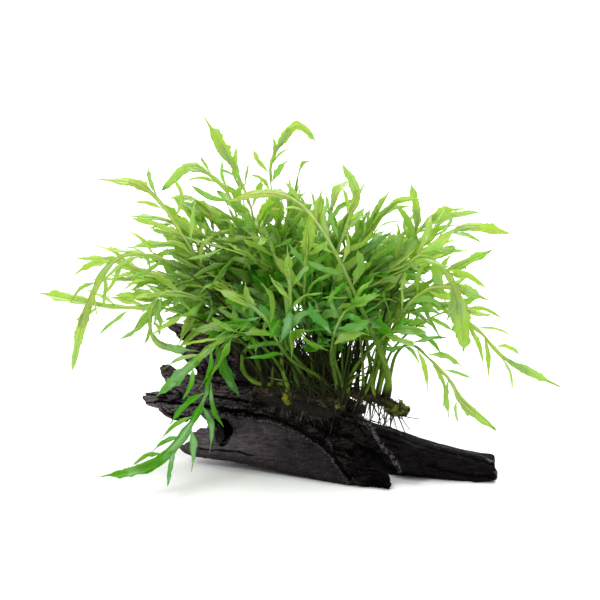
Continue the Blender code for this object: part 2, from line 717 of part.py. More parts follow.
def build_frond(frond, found, neighbours, parts, finish):
    """The frond's solid, with each leaflet that finds room joined to an edge of the rachis."""
    name, _, face, _, _ = frond
    line, plan, (points, faces, _), _ = found
    bm = bmesh.new()
    verts = [bm.verts.new(p) for p in points]
    stalk = range(len(verts) - 3)
    for corners in faces:
        bm.faces.new([verts[i] for i in corners])
    own, slabs = Taken(), []
    for i, leaf in enumerate(plan, start=BARE_STEPS):
        leaflet = find_leaflet(line, face, leaf, [*neighbours, own])
        if leaflet is None:
            continue
        corners, slab = leaflet
        slabs.append(slab)
        own.add(corners[2:], [(0, 1, 2)])
        column = 1 if leaf[2] > 0 else 0
        near, far = verts[2 * i + column], verts[2 * i + 2 + column]
        inner, outer, tip = (bm.verts.new(p) for p in corners[2:])
        for loop in ((near, outer, inner, far), (outer, tip, inner)):
            bm.faces.new(loop if leaf[2] < 0 else loop[::-1])
    bmesh.ops.recalc_face_normals(bm, faces=bm.faces)
    obj = add_object("frond_" + name, bm, parts, finish)
    group = obj.vertex_groups.new(name="stalk")
    group.add(list(stalk), 1.0, "REPLACE")
    modifier(obj, "SOLIDIFY", thickness=STALK_THICKNESS, offset=0, vertex_group="stalk",
             thickness_vertex_group=LEAF_SHARE)
    bake(obj)
    return slabs


def build_fronds(lines, solids, parts, finish):
    """All the rachises find their ways first, then each frond's leaflets find room among them."""
    rachises, leaflets = Taken(), Taken()
    fronds = [(frond, find_rachis(frond, solids, rachises)) for frond in frond_list(lines)]
    fronds = [(frond, found) for frond, found in fronds if found]
    for frond, found in fronds:
        others = Taken()
        for _, other in fronds:
            if other is not found:
                others.add(*other[3])
        for slab in build_frond(frond, found, (solids, others, leaflets), parts, finish):
            leaflets.add(*slab)


def main():
    clear_scene()
    parts = bpy.data.collections.new("african_water_fern_on_driftwood")
    cutters = bpy.data.collections.new("cutters")
    for collection in (parts, cutters):
        bpy.context.scene.collection.children.link(collection)
    bark = material("black_driftwood", (0.022, 0.018, 0.018), 0.55)
    stem = material("rhizome_green", (0.10, 0.13, 0.02), 0.6)
    roots = material("root_brown", (0.025, 0.018, 0.010), 0.9)
    leaf = material("frond_green", (0.16, 0.40, 0.03), 0.4)

    wood = build_wood(parts, cutters, bark)
    rhizomes, lines = [], {}
    for name in RHIZOMES:
        rhizome, lines[name] = build_rhizome(name, parts, stem)
        rhizomes.append(rhizome)
    mat = build_mat("root_mat", MAT_LOBES, [wood, *rhizomes], parts, cutters, roots)
    tuft = build_mat("hanging_roots", TUFT_LOBES, [wood, mat, *rhizomes], parts, cutters, roots)

    solids = Taken()
    for obj in (wood, mat, tuft, *rhizomes):
        solids.add_object(obj)
    build_fronds(lines, solids, parts, leaf)
    for obj in parts.objects:
        obj.data.transform(Matrix.Translation(-ORIGIN))


main()
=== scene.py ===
"""African water fern grown onto a wedge of black driftwood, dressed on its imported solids.

X runs along the wood to its blunt right tongue, Y away from the side that shows the front flap, and
Z up, in metres. Points in the tables are in millimetres from a spot below the front of the trough,
and each finished mesh is moved to the model's origin, which is on the wood's flat underside.
"""

import math
import random

import bmesh
import bpy
from mathutils import Matrix, Vector, noise
from mathutils.bvhtree import BVHTree
from mathutils.kdtree import KDTree


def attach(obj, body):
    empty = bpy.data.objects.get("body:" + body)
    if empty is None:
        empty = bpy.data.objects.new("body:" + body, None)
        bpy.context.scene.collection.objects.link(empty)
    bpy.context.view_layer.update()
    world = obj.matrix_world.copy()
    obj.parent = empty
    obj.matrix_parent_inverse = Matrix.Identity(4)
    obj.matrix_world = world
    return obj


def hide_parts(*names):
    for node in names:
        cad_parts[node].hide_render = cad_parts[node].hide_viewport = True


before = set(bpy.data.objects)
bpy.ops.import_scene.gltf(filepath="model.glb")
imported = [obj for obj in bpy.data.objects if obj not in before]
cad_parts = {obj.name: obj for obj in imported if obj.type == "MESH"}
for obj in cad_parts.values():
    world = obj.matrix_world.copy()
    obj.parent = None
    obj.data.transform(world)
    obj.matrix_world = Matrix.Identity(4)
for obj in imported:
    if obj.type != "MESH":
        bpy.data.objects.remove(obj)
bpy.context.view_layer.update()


# View and light: a long lens looks down by 15 degrees at the side with the flap. The floor is a
# pale sheet, lit by a white room and four large soft lamps, one of them behind the leaves.

MM = 0.001
VIEW_MIDDLE = Vector((-10, 0, 111.5)) * MM
VIEW_WIDTH = 390 * MM
VIEW_DISTANCE = 2.6
VIEW_DOWN = math.radians(15)
FLOOR_SIZE = 12.0
FLOOR_WHITES = (0.93, 0.93, 0.93), (0.95, 0.95, 0.945)
ROOM_STRENGTH = 0.56
LAMPS = {
    # name: place, size and strength
    "key": ((-0.9, -1.5, 1.7), 1.0, 27.0),
    "top": ((0.1, 0.2, 1.9), 1.2, 30.0),
    "fill": ((1.6, -1.2, 0.9), 1.4, 6.0),
    "behind": ((0.3, 1.5, 1.1), 1.4, 22.0),
}

scene = bpy.context.scene
camera_data = bpy.data.cameras.new("camera")
camera_data.lens = camera_data.sensor_width * VIEW_DISTANCE / VIEW_WIDTH
camera = bpy.data.objects.new("camera", camera_data)
camera.location = VIEW_MIDDLE + Vector((0, -math.cos(VIEW_DOWN), math.sin(VIEW_DOWN))) * VIEW_DISTANCE
camera.rotation_euler = (math.pi / 2 - VIEW_DOWN, 0, 0)
scene.collection.objects.link(camera)
scene.camera = camera
scene.view_settings.view_transform = "Standard"

for name, (place, size, strength) in LAMPS.items():
    lamp_data = bpy.data.lights.new(name, "AREA")
    lamp_data.shape = "DISK"
    lamp_data.size = size
    lamp_data.energy = strength
    lamp = bpy.data.objects.new(name, lamp_data)
    lamp.location = place
    lamp.rotation_euler = (VIEW_MIDDLE - Vector(place)).to_track_quat("-Z", "Y").to_euler()
    scene.collection.objects.link(lamp)

room = bpy.data.worlds.new("room")
room.use_nodes = True
room.node_tree.nodes["Background"].inputs["Color"].default_value = (1, 1, 1, 1)
room.node_tree.nodes["Background"].inputs["Strength"].default_value = ROOM_STRENGTH
scene.world = room


def as_object(name, bm):
    """An object with this mesh, which is then freed."""
    mesh = bpy.data.meshes.new(name)
    bm.to_mesh(mesh)
    bm.free()
    made = bpy.data.objects.new(name, mesh)
    scene.collection.objects.link(made)
    return made


def add_piece(name, bm, finish):
    """A finished piece, its mesh moved to the model's origin and its faces shaded smooth."""
    piece = as_object(name, bm)
    piece.data.transform(Matrix.Translation(-ORIGIN))
    for face in piece.data.polygons:
        face.use_smooth = True
    piece.data.materials.append(finish.material)
    return piece


class Value:
    """A number that varies over a surface, so that sums on it add the shader's maths nodes."""

    def __init__(self, finish, socket):
        self.finish, self.socket = finish, socket

    def __add__(self, other):
        return self.finish.maths("ADD", self, other)

    def __sub__(self, other):
        return self.finish.maths("SUBTRACT", self, other)

    def __rsub__(self, other):
        return self.finish.maths("SUBTRACT", other, self)

    def __mul__(self, other):
        return self.finish.maths("MULTIPLY", self, other)

    def __pow__(self, other):
        return self.finish.maths("POWER", self, other)

    __radd__, __rmul__ = __add__, __mul__


class Finish:
    """One material, and the ways to add nodes to it."""

    def __init__(self, name, **constants):
        self.material = bpy.data.materials.new(name)
        self.material.use_nodes = True
        self.tree = self.material.node_tree
        self.shader = self.tree.nodes["Principled BSDF"]
        self.output = self.tree.nodes["Material Output"]
        for key, value in constants.items():
            self.shader.inputs[key.replace("_", " ")].default_value = value

    def node(self, kind, settings=None, sockets=None):
        """A node with its settings made first, then its sockets given values or links."""
        made = self.tree.nodes.new("ShaderNode" + kind)
        for key, value in (settings or {}).items():
            setattr(made, key, value)
        for key, value in (sockets or {}).items():
            self.put(made.inputs[key], value)
        return made

    def put(self, socket, value):
        """Links a node's output to the socket, or sets the socket to a constant. A constant colour is
        its red, green and blue."""
        if isinstance(value, Value):
            value = value.socket
        if isinstance(value, bpy.types.NodeSocket):
            self.tree.links.new(value, socket)
        elif socket.type == "RGBA":
            socket.default_value = (*value, 1)
        else:
            socket.default_value = value

    def maths(self, operation, first, second):
        made = self.node("Math", {"operation": operation}, {0: first, 1: second})
        return Value(self, made.outputs[0])

    def between(self, value, low, high):
        """0 below low, 1 above high, and a smooth change from one to the other."""
        made = self.node("MapRange", {"interpolation_type": "SMOOTHSTEP"},
                         {"Value": value, "From Min": low, "From Max": high})
        return Value(self, made.outputs["Result"])

    def mix(self, share, first, second):
        """A colour between two colours."""
        made = self.node("Mix", {"data_type": "RGBA"}, {"Factor": share, 6: first, 7: second})
        return made.outputs[2]

    def layered(self, base, *layers):
        """The base colour with others laid over it, each of them by its share."""
        for share, colour in layers:
            base = self.mix(share, base, colour)
        return base

    def split(self, place):
        """How far a place lies along X, along Y and along Z."""
        made = self.node("SeparateXYZ", None, {0: place})
        return [Value(self, socket) for socket in made.outputs]

    def attribute(self, name):
        return Value(self, self.node("Attribute", {"attribute_name": name}).outputs["Fac"])

    def place(self, turn=(0, 0, 0), scale=(1, 1, 1)):
        """Where a point is on the piece, turned and stretched."""
        here = self.node("TexCoord").outputs["Object"]
        made = self.node("Mapping", None, {"Vector": here, "Rotation": turn, "Scale": scale})
        return made.outputs["Vector"]

    def cloud(self, place, scale, detail=4.0, rough=0.55):
        made = self.node("TexNoise", None,
                         {"Vector": place, "Scale": scale, "Detail": detail, "Roughness": rough})
        return Value(self, made.outputs["Fac"])

    def bump(self, height, strength, distance, under=None):
        sockets = {"Height": height, "Strength": strength, "Distance": distance}
        if under:
            sockets["Normal"] = under
        return self.node("Bump", None, sockets).outputs["Normal"]

    def feed(self, **links):
        """Links values to the main shader's sockets."""
        for key, value in links.items():
            self.put(self.shader.inputs[key.replace("_", " ")], value)


floor_finish = Finish("pale_floor", Roughness=0.9, Specular_IOR_Level=0.1)
floor_tint = floor_finish.cloud(floor_finish.place(), 3.0)
floor_finish.feed(Base_Color=floor_finish.mix(floor_tint, *FLOOR_WHITES))
floor_mesh = bmesh.new()
bmesh.ops.create_grid(floor_mesh, x_segments=4, y_segments=4, size=FLOOR_SIZE / 2)
ORIGIN = Vector((0, 0, 0))
floor = add_piece("floor", floor_mesh, floor_finish)


# Driftwood: one wedge of waterlogged black wood, high and broken at the left, low and blunt at the
# right, with a bark-like flap in front. Its planks and plates are melted together, hollowed, and
# then worn along the grain into ridges, cracks and splintered ends.

ORIGIN = Vector((10, 36, 0)) * MM
WOOD_VOXEL = 2.0 * MM
WOOD_FINE_VOXEL = 0.95 * MM
WOOD_FOOT = 0.15 * MM
RING_POINTS = 10
GRAIN = Vector((1, -0.34, -0.30)).normalized()
GRAIN_UP = (Vector((0, 0, 1)) - GRAIN * GRAIN.z).normalized()
GRAIN_BACK = GRAIN.cross(GRAIN_UP)
# The length and the width in mm of each kind of mark that runs along the grain.
GRAIN_SIZES = {"lump": (46, 11), "ridge": (38, 3.4), "fibre": (14, 1.25), "crack": (60, 7.5),
               "splinter": (200, 2.1)}
SPLINTER_DEPTH = 5.0

# The wood's solid lobes: rows of x, y, z, half height, half depth in mm, and how many degrees the
# lobe's top leans away from the front.
LOBES = {
    "heartwood": (
        (-54, 64, 26, 11, 6, 35),
        (-40, 58, 23, 18, 12, 35),
        (-12, 49, 20, 24, 14, 35),
        (20, 38, 17, 22, 14, 33),
        (46, 28, 14, 15.5, 16, 25),
        (78, 15, 10.5, 12.5, 17, 8),
        (106, 9, 7.5, 9.5, 14, 0),
        (126.5, 8, 6, 7.5, 12, 0),
    ),
    "tongue_lip": ((104, 14, 12, 5, 8, 10), (119, 12, 9.5, 4, 7, 10), (126, 11, 8.5, 3.5, 5, 10)),
    "tongue_stub": ((112, -3, 4.5, 5, 4, 0), (124, -4, 5, 4.5, 3, 0), (128, -5, 4, 3, 2, 0)),
    "flap_root": ((0, 14, 12, 12, 7, 38), (24, 6, 9, 9, 7, 36), (50, 0, 4, 4, 6, 25)),
    "rear_ridge": ((-66, 77, 70, 7, 4, 8), (-22, 66, 52, 11, 8, 12), (40, 46, 20, 7, 8, 14)),
    "rear_root": ((-46, 72, 28, 10, 8, 25), (2, 58, 15, 12, 11, 20), (60, 36, 7, 6, 9, 10)),
    "pit_back": ((-57, 49, 17, 6, 4, 30), (-51, 46, 19, 8, 5, 35), (-42, 42, 23, 9, 5, 35),
                 (-24, 33, 20, 9, 5, 35)),
    "tongue_scrap": ((122, -6, 9, 3, 1.4, 0), (127, -7, 7.5, 6, 1.5, 0), (129, -7, 6, 4, 1, 0)),
}

# The wood's plates: how far back each lies at x = 0 and z = 0 in mm, how much further back it goes
# for each mm to the right and for each mm up, its half thickness, and its broken outline in x, z.
PLATES = {
    "back_wall": (
        (48, -0.33, 0.14, 5),
        ((-70, 85), (-76, 81), (-84, 82), (-87, 79), (-82, 76), (-81, 73), (-75, 70), (-74, 65),
         (-77, 62), (-75, 58), (-70, 57), (-64, 48), (-58, 20), (-20, 5), (60, 5), (85, 5),
         (86, 19), (64, 22), (43, 28), (33, 41), (20, 56), (0, 69), (-32, 77), (-45, 82),
         (-58, 84)),
    ),
    "middle_layer": (
        (14, -0.35, 0.7, 4.5),
        ((-88, 54), (-90, 49), (-88, 42), (-84, 41), (-91, 38), (-98, 37), (-103, 34), (-101, 30),
         (-93, 30), (-90, 26), (-86, 24), (-76, 23), (-74, 25), (-64, 29), (-50, 12), (10, 8),
         (78, 8), (76, 21), (52, 29), (26, 38), (0, 44), (-39, 47), (-62, 52), (-70, 49),
         (-77, 49), (-82, 51)),
    ),
    "front_flap": (
        (-1, -0.343, 0.9, 5),
        ((-67, 35), (-66, 30), (-58, 26), (-50, 27), (-46, 26), (-43, 21), (-46, 15), (-53, 14),
         (-58, 11), (-57, 9), (-23, 5), (20, 2), (40, 1), (57, 0), (60, 3), (57, 5), (58, 8), (50, 10),
         (40, 10), (26, 12), (16, 20), (0, 28), (-20, 33), (-45, 36.5), (-60, 37.5)),
    ),
    "tooth": (
        (1, -0.343, 0.9, 3.5),
        ((-61, 22), (-66, 22), (-70, 17), (-71, 12), (-64, 10), (-50, 9), (-45, 16), (-50, 22),
         (-57, 23)),
    ),
    "splinter": (
        (-1, -0.343, 0.9, 3.5),
        ((-75, 13), (-78, 10), (-72, 8), (-40, 7), (-40, 12), (-58, 13)),
    ),
}

# Hollows broken or rotted out of the wood: centre, radii in mm, and turn about Y in degrees.
HOLLOWS = {
    "flap_recess": ((37, 0, 18), (23, 14, 7), 28),
    "recess_depth": ((46, 9, 12), (16, 10, 7), 20),
    "under_arch": ((63, -8, 0), (6, 18, 4.5), 0),
    "left_cave": ((-66, 60, 4), (25, 17, 17), 0),
    "pit": ((-49, 36, 21), (7, 10, 4.5), -25),
    "trough": ((-34, 55, 60), (28, 6, 13), 6),
}

# Places where the wood has rotted to crumbs: centre, reach and depth in mm.
CRUMBLED = (
    ((-46, 38, 25), 13, 2.4), ((-50, 31, 17), 8, 1.5), ((8, 12, 18), 7, 1.4), ((36, -8, 8), 10, 1.4),
    ((52, 8, 18), 8, 1.2), ((129, -6, 6), 7, 1.8), ((124, 4, 10), 5, 1.2), ((50, -17, 3), 11, 1.8),
    ((-44, 40, 34), 18, 0.8),
    ((-22, 36, 34), 16, 0.9), ((-66, 46, 42), 13, 1.1), ((20, 24, 28), 14, 1.1), ((-4, 28, 32), 14, 1.1),
    ((-86, 50, 38), 12, 1.3), ((-80, 74, 72), 12, 1.2), ((-60, 70, 60), 14, 0.8),
)

# Lines on the front of the wood, as points of x and of the height seen from the camera in mm, with
# the line's half width and how far it stands out (below 0 for a crease).
FLAP_TOP = ((-68, 48), (-42, 44.5), (-19, 41), (0, 33), (12, 26), (20, 18), (27, 8), (32, 2))
# A crease is also painted darker, as painted shade, and a line that stands out is painted lighter, as
# bare wood and as a painted highlight.
CREASE_AND_RIDGE_LINES = {
    "above_flap": (FLAP_TOP, 1.2, -2.2),
    "flap_lip": ([(x, seen - 3.4) for x, seen in FLAP_TOP], 0.7, 0.6),
    "flap_scar": (((-8.5, 33), (-9.2, 27), (-4.7, 20)), 1.1, -0.3),
    "flap_fold": (((-26, 37.7), (-23, 33), (-23.5, 28.5), (-29.5, 23)), 0.9, 0.5),
    "splinter_split": (((-72, 21.3), (-59, 19.2), (-41, 18.3), (-30, 15.8)), 0.6, -0.7),
    "pit_crescent": (((-55, 37), (-50, 35.5), (-48, 32), (-47.5, 27), (-51, 23)), 2.3, -2.4),
    "second_split": (((-62, 54), (-40, 51), (-22, 48), (-4, 42), (14, 33), (34, 27)), 1.1, -1.3),
    "third_split": (((-96, 50), (-78, 49), (-60, 47)), 0.9, -1.1),
    "tongue_groove": (((83, 10.7), (93, 7.2), (105, 4.1), (123, 2.9)), 1.2, -1.4),
    "tongue_lip_edge": (((39, 37.2), (54, 33), (73, 28), (87, 23.4), (105, 19.4), (117, 16), (126, 12)),
                        1.0, 0.9),
    "scrap_edge": (((126, 6), (128.5, 2), (127.5, -1.5)), 1.4, 0.9),
    "under_lip": (((73, 24.5), (87, 20), (105, 16), (117, 13), (126, 9)), 0.8, -0.9),
    "recess_left_ridge": (((17, 27), (20, 23), (21, 18.5), (22, 12)), 0.8, 0.9),
    "recess_right_ridge": (((45, 35), (48, 31), (54, 21.5), (59, 17), (63, 10), (65, 5)), 1.6, 1.0),
}


def edges_of(ring):
    """The edges at these points, each once and in the same order on each run."""
    return list(dict.fromkeys(edge for vert in ring for edge in vert.link_edges))


def add_planks(bm, lobes):
    """Rows of rings, rounder than a box and flatter than an ellipse, bridged one to the next."""
    for stations in lobes.values():
        before = None
        for i, (x, y, z, half_height, half_depth, lean) in enumerate(stations):
            end = i in (0, len(stations) - 1)
            ring = bmesh.ops.create_circle(bm, cap_ends=end, segments=RING_POINTS, radius=1)["verts"]
            edges = edges_of(ring)
            up = Vector((0, math.sin(math.radians(lean)), math.cos(math.radians(lean))))
            back = Vector((0, up.z, -up.y))
            for vert in ring:
                away = math.copysign(abs(vert.co.y) ** 0.7, vert.co.y)
                rise = math.copysign(abs(vert.co.x) ** 0.7, -vert.co.x)
                vert.co = (Vector((x, y, z)) + up * half_height * rise + back * half_depth * away) * MM
            if before:
                bmesh.ops.bridge_loops(bm, edges=before + edges)
            before = edges


def add_plate(bm, plane, outline):
    """A slab with a broken outline, as thick as the plate, lying in the plate's plane."""
    back, by_x, by_z, half = plane
    way = Vector((-by_x, 1, -by_z)).normalized() * half * MM
    points = [Vector((x, back + by_x * x + by_z * z, z)) * MM - way for x, z in outline]
    front = bm.faces.new([bm.verts.new(point) for point in points])
    grown = bmesh.ops.extrude_face_region(bm, geom=[front])["geom"]
    bmesh.ops.translate(bm, vec=way * 2, verts=[g for g in grown if isinstance(g, bmesh.types.BMVert)])


def modifier(obj, kind, **settings):
    """Adds a modifier of this kind with its settings."""
    added = obj.modifiers.new(kind.title(), kind)
    for key, value in settings.items():
        setattr(added, key, value)
    return added


def baked(obj):
    """The object's mesh with its modifiers applied, in a bmesh. The object is removed."""
    bpy.context.view_layer.update()
    mesh = bpy.data.meshes.new_from_object(obj.evaluated_get(bpy.context.evaluated_depsgraph_get()))
    bm = bmesh.new()
    bm.from_mesh(mesh)
    bpy.data.objects.remove(obj)
    return bm


def hollow_body(centre, radii, turn):
    """An ellipsoid to cut from the wood."""
    bm = bmesh.new()
    bmesh.ops.create_uvsphere(bm, u_segments=24, v_segments=14, radius=1)
    bmesh.ops.scale(bm, vec=Vector(radii) * MM, verts=bm.verts)
    bmesh.ops.rotate(bm, matrix=Matrix.Rotation(math.radians(turn), 3, "Y"), verts=bm.verts)
    bmesh.ops.translate(bm, vec=Vector(centre) * MM, verts=bm.verts)
    return as_object("hollow", bm)


wood_mesh = bmesh.new()
add_planks(wood_mesh, LOBES)
for plane, outline in PLATES.values():
    add_plate(wood_mesh, plane, outline)
bmesh.ops.recalc_face_normals(wood_mesh, faces=wood_mesh.faces)
raw_wood = as_object("raw_wood", wood_mesh)
modifier(raw_wood, "REMESH", mode="VOXEL", voxel_size=WOOD_VOXEL)
raw_wood = as_object("raw_wood", baked(raw_wood))
hollows = [hollow_body(*hollow) for hollow in HOLLOWS.values()]
for hollow in hollows:
    modifier(raw_wood, "BOOLEAN", object=hollow, operation="DIFFERENCE")
modifier(raw_wood, "REMESH", mode="VOXEL", voxel_size=WOOD_FINE_VOXEL)
wood_mesh = baked(raw_wood)
for hollow in hollows:
    bpy.data.objects.remove(hollow)


def along_grain(point, mark):
    """The point in the grain's own directions, in steps of the mark's length and width."""
    length, width = GRAIN_SIZES[mark]
    point = point / MM
    return Vector((point.dot(GRAIN) / length, point.dot(GRAIN_UP) / width,
                   point.dot(GRAIN_BACK) / width))


def eased(share):
    """The share, kept from 0 to 1 and changed to start and end gently."""
    share = min(max(share, 0), 1)
    return share * share * (3 - 2 * share)


def height_at(line, x):
    """How high a line runs at x."""
    for (x0, h0), (x1, h1) in zip(line, line[1:]):
        if x <= x1:
            return h0 + (h1 - h0) * (x - x0) / (x1 - x0)
    return line[-1][1]


def gap_to(line, x, height):
    """The distance from a point to a line, as the camera sees them."""
    least = 1e9
    for (x0, h0), (x1, h1) in zip(line, line[1:]):
        dx, dh = x1 - x0, h1 - h0
        share = min(max(((x - x0) * dx + (height - h0) * dh) / (dx * dx + dh * dh), 0), 1)
        least = min(least, math.hypot(x - x0 - share * dx, height - h0 - share * dh))
    return least


def wood_relief(point, normal):
    """How far the worn surface stands out at a point in mm, and how it is painted there, from -1,
    painted shade in a crease, to 1, a bare ridge painted light as wear and as a painted highlight."""
    x, seen = point.x / MM, (point.z * math.cos(VIEW_DOWN) + point.y * math.sin(VIEW_DOWN)) / MM
    # The flap and the tongue are worn calm: their grain is fine and lies straight.
    flap = eased((height_at(FLAP_TOP, x) - 1 - seen) / 5) * eased((30 - x) / 6)
    flap *= max(eased((x + 67) / 4), eased((37 - seen) / 3))
    calm = max(flap, eased((x - 58) / 14))
    bend = Vector((0, noise.noise(point / (16 * MM)), noise.noise(point / (19 * MM)))) * 1.1 * (1 - calm)
    lump = noise.noise(along_grain(point, "lump"))
    ridge = noise.noise(along_grain(point, "ridge") + bend)
    fibre = noise.noise(along_grain(point, "fibre") + bend)
    crack = abs(noise.noise(along_grain(point, "crack") + bend * 0.6))
    rough = 1 - 0.62 * calm
    relief = 1.3 * lump + rough * (0.85 * (1 - 2 * abs(ridge)) - 0.2 + 0.36 * fibre)
    relief -= 1.7 * rough * max(0, 1 - crack / 0.07)
    wear_and_painted_light = 0.0
    # Rotten wood falls away in crumbs, and is painted darker there.
    for centre, reach, depth in CRUMBLED:
        near = 1 - (point / MM - Vector(centre)).length / reach
        if near > 0:
            crumbs = abs(noise.noise(point / (2.0 * MM))) * 2.4 + 0.3
            relief -= depth * min(1, near * 2) * crumbs
            wear_and_painted_light -= 0.12 * crumbs * near
    # The lines that are seen in front waver, and fade out where the surface turns away.
    front = eased(0.5 - normal.y * 1.4)
    if front > 0:
        for line, half, out in CREASE_AND_RIDGE_LINES.values():
            shake = 1.3 * noise.noise(Vector((x / 6, seen / 6, half)))
            shake += 1.1 * noise.noise(Vector((x / 1.7, seen / 1.7, half)))
            shake *= min(1, 0.3 + 0.4 * half)
            near = 1 - gap_to(line, x, seen + shake) / (half * 1.6)
            if near > 0:
                relief += out * eased(near) * front * (0.7 + 0.6 * fibre)
                wear_and_painted_light += max(-1, min(1, out * 1.2)) * eased(near) * front
    return relief, max(-1, min(1, wear_and_painted_light)), calm


wood_height, wood_wear_and_painted_light, wood_calm = (wood_mesh.verts.layers.float.new(key)
                                     for key in ("height", "wear_and_painted_light", "calm"))
wood_mesh.normal_update()
for vert in wood_mesh.verts:
    relief, vert[wood_wear_and_painted_light], vert[wood_calm] = wood_relief(vert.co, vert.normal)
    broken = max(0, -vert.normal.dot(GRAIN)) ** 2
    teeth = noise.noise(along_grain(vert.co, "splinter")) * SPLINTER_DEPTH * broken
    vert[wood_height] = relief
    vert.co += (vert.normal * relief - GRAIN * teeth) * MM
    vert.co.z = max(vert.co.z, WOOD_FOOT + 0.02 * MM * (relief + 2))

wood_finish = Finish("wet_black_wood", Specular_IOR_Level=0.02, Coat_Roughness=0.3)
f = wood_finish
# The mapping turns the grain's direction onto X.
grain_turn = Matrix((GRAIN, GRAIN_UP, GRAIN_BACK)).to_euler()
grain_place = f.place(turn=tuple(grain_turn), scale=(0.16, 1, 1))
here = f.place()
height = f.between(f.attribute("height"), -1.6, 1.2)
wear_and_painted_light = f.attribute("wear_and_painted_light")
calm = f.attribute("calm")
fibres = f.cloud(grain_place, 1300, 5, 0.65)
furrows = f.cloud(grain_place, 560, 4, 0.65)
crumbs = f.cloud(here, 620, 3, 0.7)
patches = f.cloud(here, 38, 3)
x, _, z = f.split(here)
left = (1 - f.between(x + patches * 0.03, -0.055, 0.010)) * (0.25 + 0.75 * f.between(z, 0.008, 0.017))
middle = 1 - f.between(x, -0.005, 0.045)
cells = f.node("TexVoronoi", {"feature": "DISTANCE_TO_EDGE"}, {"Vector": grain_place, "Scale": 300.0})
cracks = (1 - f.between(Value(f, cells.outputs["Distance"]), 0.01, 0.09)) * (1 - calm * 0.8)
rough_grain = f.between(furrows * 0.55 + crumbs * 0.45 + height * 0.16, 0.50, 0.64)
calm_grain = f.between(fibres * 0.4 + furrows * 0.6, 0.36, 0.64)
grain = f.node("Mix", {"data_type": "FLOAT"}, {0: calm, 2: rough_grain, 3: calm_grain}).outputs[0]
left_wood = f.mix(
    grain, f.mix(calm, (0.012, 0.008, 0.008), (0.056, 0.043, 0.053)),
    f.mix(f.between(patches, 0.44, 0.56) * (1 - calm), (0.140, 0.118, 0.132), (0.108, 0.082, 0.082)))
middle_wood = f.mix(
    grain, f.mix(calm, (0.0030, 0.0022, 0.0020), (0.012, 0.009, 0.010)),
    f.mix(calm, (0.040, 0.033, 0.030), (0.027, 0.022, 0.023)))
right_wood = f.mix(grain, (0.0012, 0.0009, 0.0009), (0.0092, 0.0072, 0.0076))
# The base colour carries painted light: painted shade in low places and creases, and a painted highlight
# on bare ridges.
base = f.layered(
    f.mix(left, f.mix(middle, right_wood, middle_wood), left_wood),
    (cracks * 0.85, (0.0040, 0.0028, 0.0028)),
    ((1 - height) ** 2.0 * (0.8 - calm * 0.5), (0.0025, 0.0018, 0.0018)),  # furrows: painted shade in the low places of the relief
    (f.between(wear_and_painted_light, 0.15, 0.8) * f.between(crumbs, 0.44, 0.56), (0.100, 0.090, 0.094)),  # bare edges: wear, and a painted highlight on ridges and lips
    (f.between(wear_and_painted_light * -1, 0.12, 0.6), (0.0015, 0.0010, 0.0010)),  # creases: painted shade
)
# Pale specks laid in the base colour are painted glints of wet light.
painted_glint_specks = f.between(f.cloud(here, 1100, 2, 0.4), 0.66, 0.74)
glints = f.between(crumbs * 0.5 + fibres * 0.5, 0.52, 0.62)
f.feed(
    Base_Color=f.mix(painted_glint_specks * (0.10 + 0.25 * middle), base, (0.20, 0.19, 0.20)),
    Roughness=0.75 - 0.35 * glints,
    Coat_Weight=glints * height * (0.02 + 0.30 * left),
    Normal=f.bump(fibres * (1 - calm * 0.5), 0.8, 0.7 * MM,
                  f.bump((furrows + crumbs * 0.6 - cracks * 0.5) * (1 - calm * 0.4), 0.8, 1.6 * MM)),
)
driftwood = add_piece("driftwood_wedge", wood_mesh, wood_finish)
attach(driftwood, "root")
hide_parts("driftwood")


# Rhizomes: the fern's creeping stems, thick as a pencil and green-brown under old scales. Each one
# is a tube through its row's points, in mm, made lumpy.

RHIZOME_RADIUS = 4.0 * MM
RHIZOME_CORE = 3.0 * MM
RHIZOME_STEPS = 90
RHIZOME_SIDES = 22
RHIZOME_END = 5  # the steps over which it thins to its end
RHIZOME_RING = 0.22 * MM  # how far every fourth ring stands out
RHIZOME_LUMPS = ((1.5, 3.6), (0.6, 1.3))
SPINE_STEPS = 60
RHIZOMES = {
    "left": ((-42, 58, 62), (-24, 54, 61), (-6, 48, 59)),
    "front": ((-28, 48, 50), (-8, 39, 47.5), (12, 31, 46.5), (30, 26, 43.5)),
    "right": ((6, 42, 54), (24, 36, 51.5), (40, 32, 48.5), (56, 32, 44), (69, 31, 35)),
}


def smooth_line(points, first_way=None):
    """Evenly spaced points on a Catmull-Rom curve through these points."""
    points = [Vector(p) for p in points]
    reach = (points[1] - points[0]).length
    before = points[0] - (first_way * reach if first_way else points[1] - points[0])
    ends = [before, *points, 2 * points[-1] - points[-2]]
    fine = []
    for a, b, c, d in zip(ends, ends[1:], ends[2:], ends[3:]):
        for step in range(SPINE_STEPS):
            t = step / SPINE_STEPS
            fine.append(
                0.5 * (2 * b + (c - a) * t + (2 * a - 5 * b + 4 * c - d) * t**2
                       + (3 * b - a - 3 * c + d) * t**3)
            )
    fine.append(points[-1])
    run = [0.0]
    for a, b in zip(fine, fine[1:]):
        run.append(run[-1] + (b - a).length)
    line, i = [], 0
    for step in range(SPINE_STEPS + 1):
        wanted = run[-1] * step / SPINE_STEPS
        while i < len(fine) - 2 and run[i + 1] < wanted:
            i += 1
        share = (wanted - run[i]) / max(run[i + 1] - run[i], 1e-9)
        line.append(fine[i].lerp(fine[i + 1], min(share, 1)))
    return line


def line_through(points):
    """A smooth line through points in mm."""
    return smooth_line([Vector(p) * MM for p in points])


def at(line, share):
    """The point at a share of the line's length."""
    place = min(max(share, 0), 1) * (len(line) - 1)
    i = min(int(place), len(line) - 2)
    return line[i].lerp(line[i + 1], place - i)


def spaced(line, steps):
    """Points along the line, this many steps apart."""
    return [at(line, i / steps) for i in range(steps + 1)]


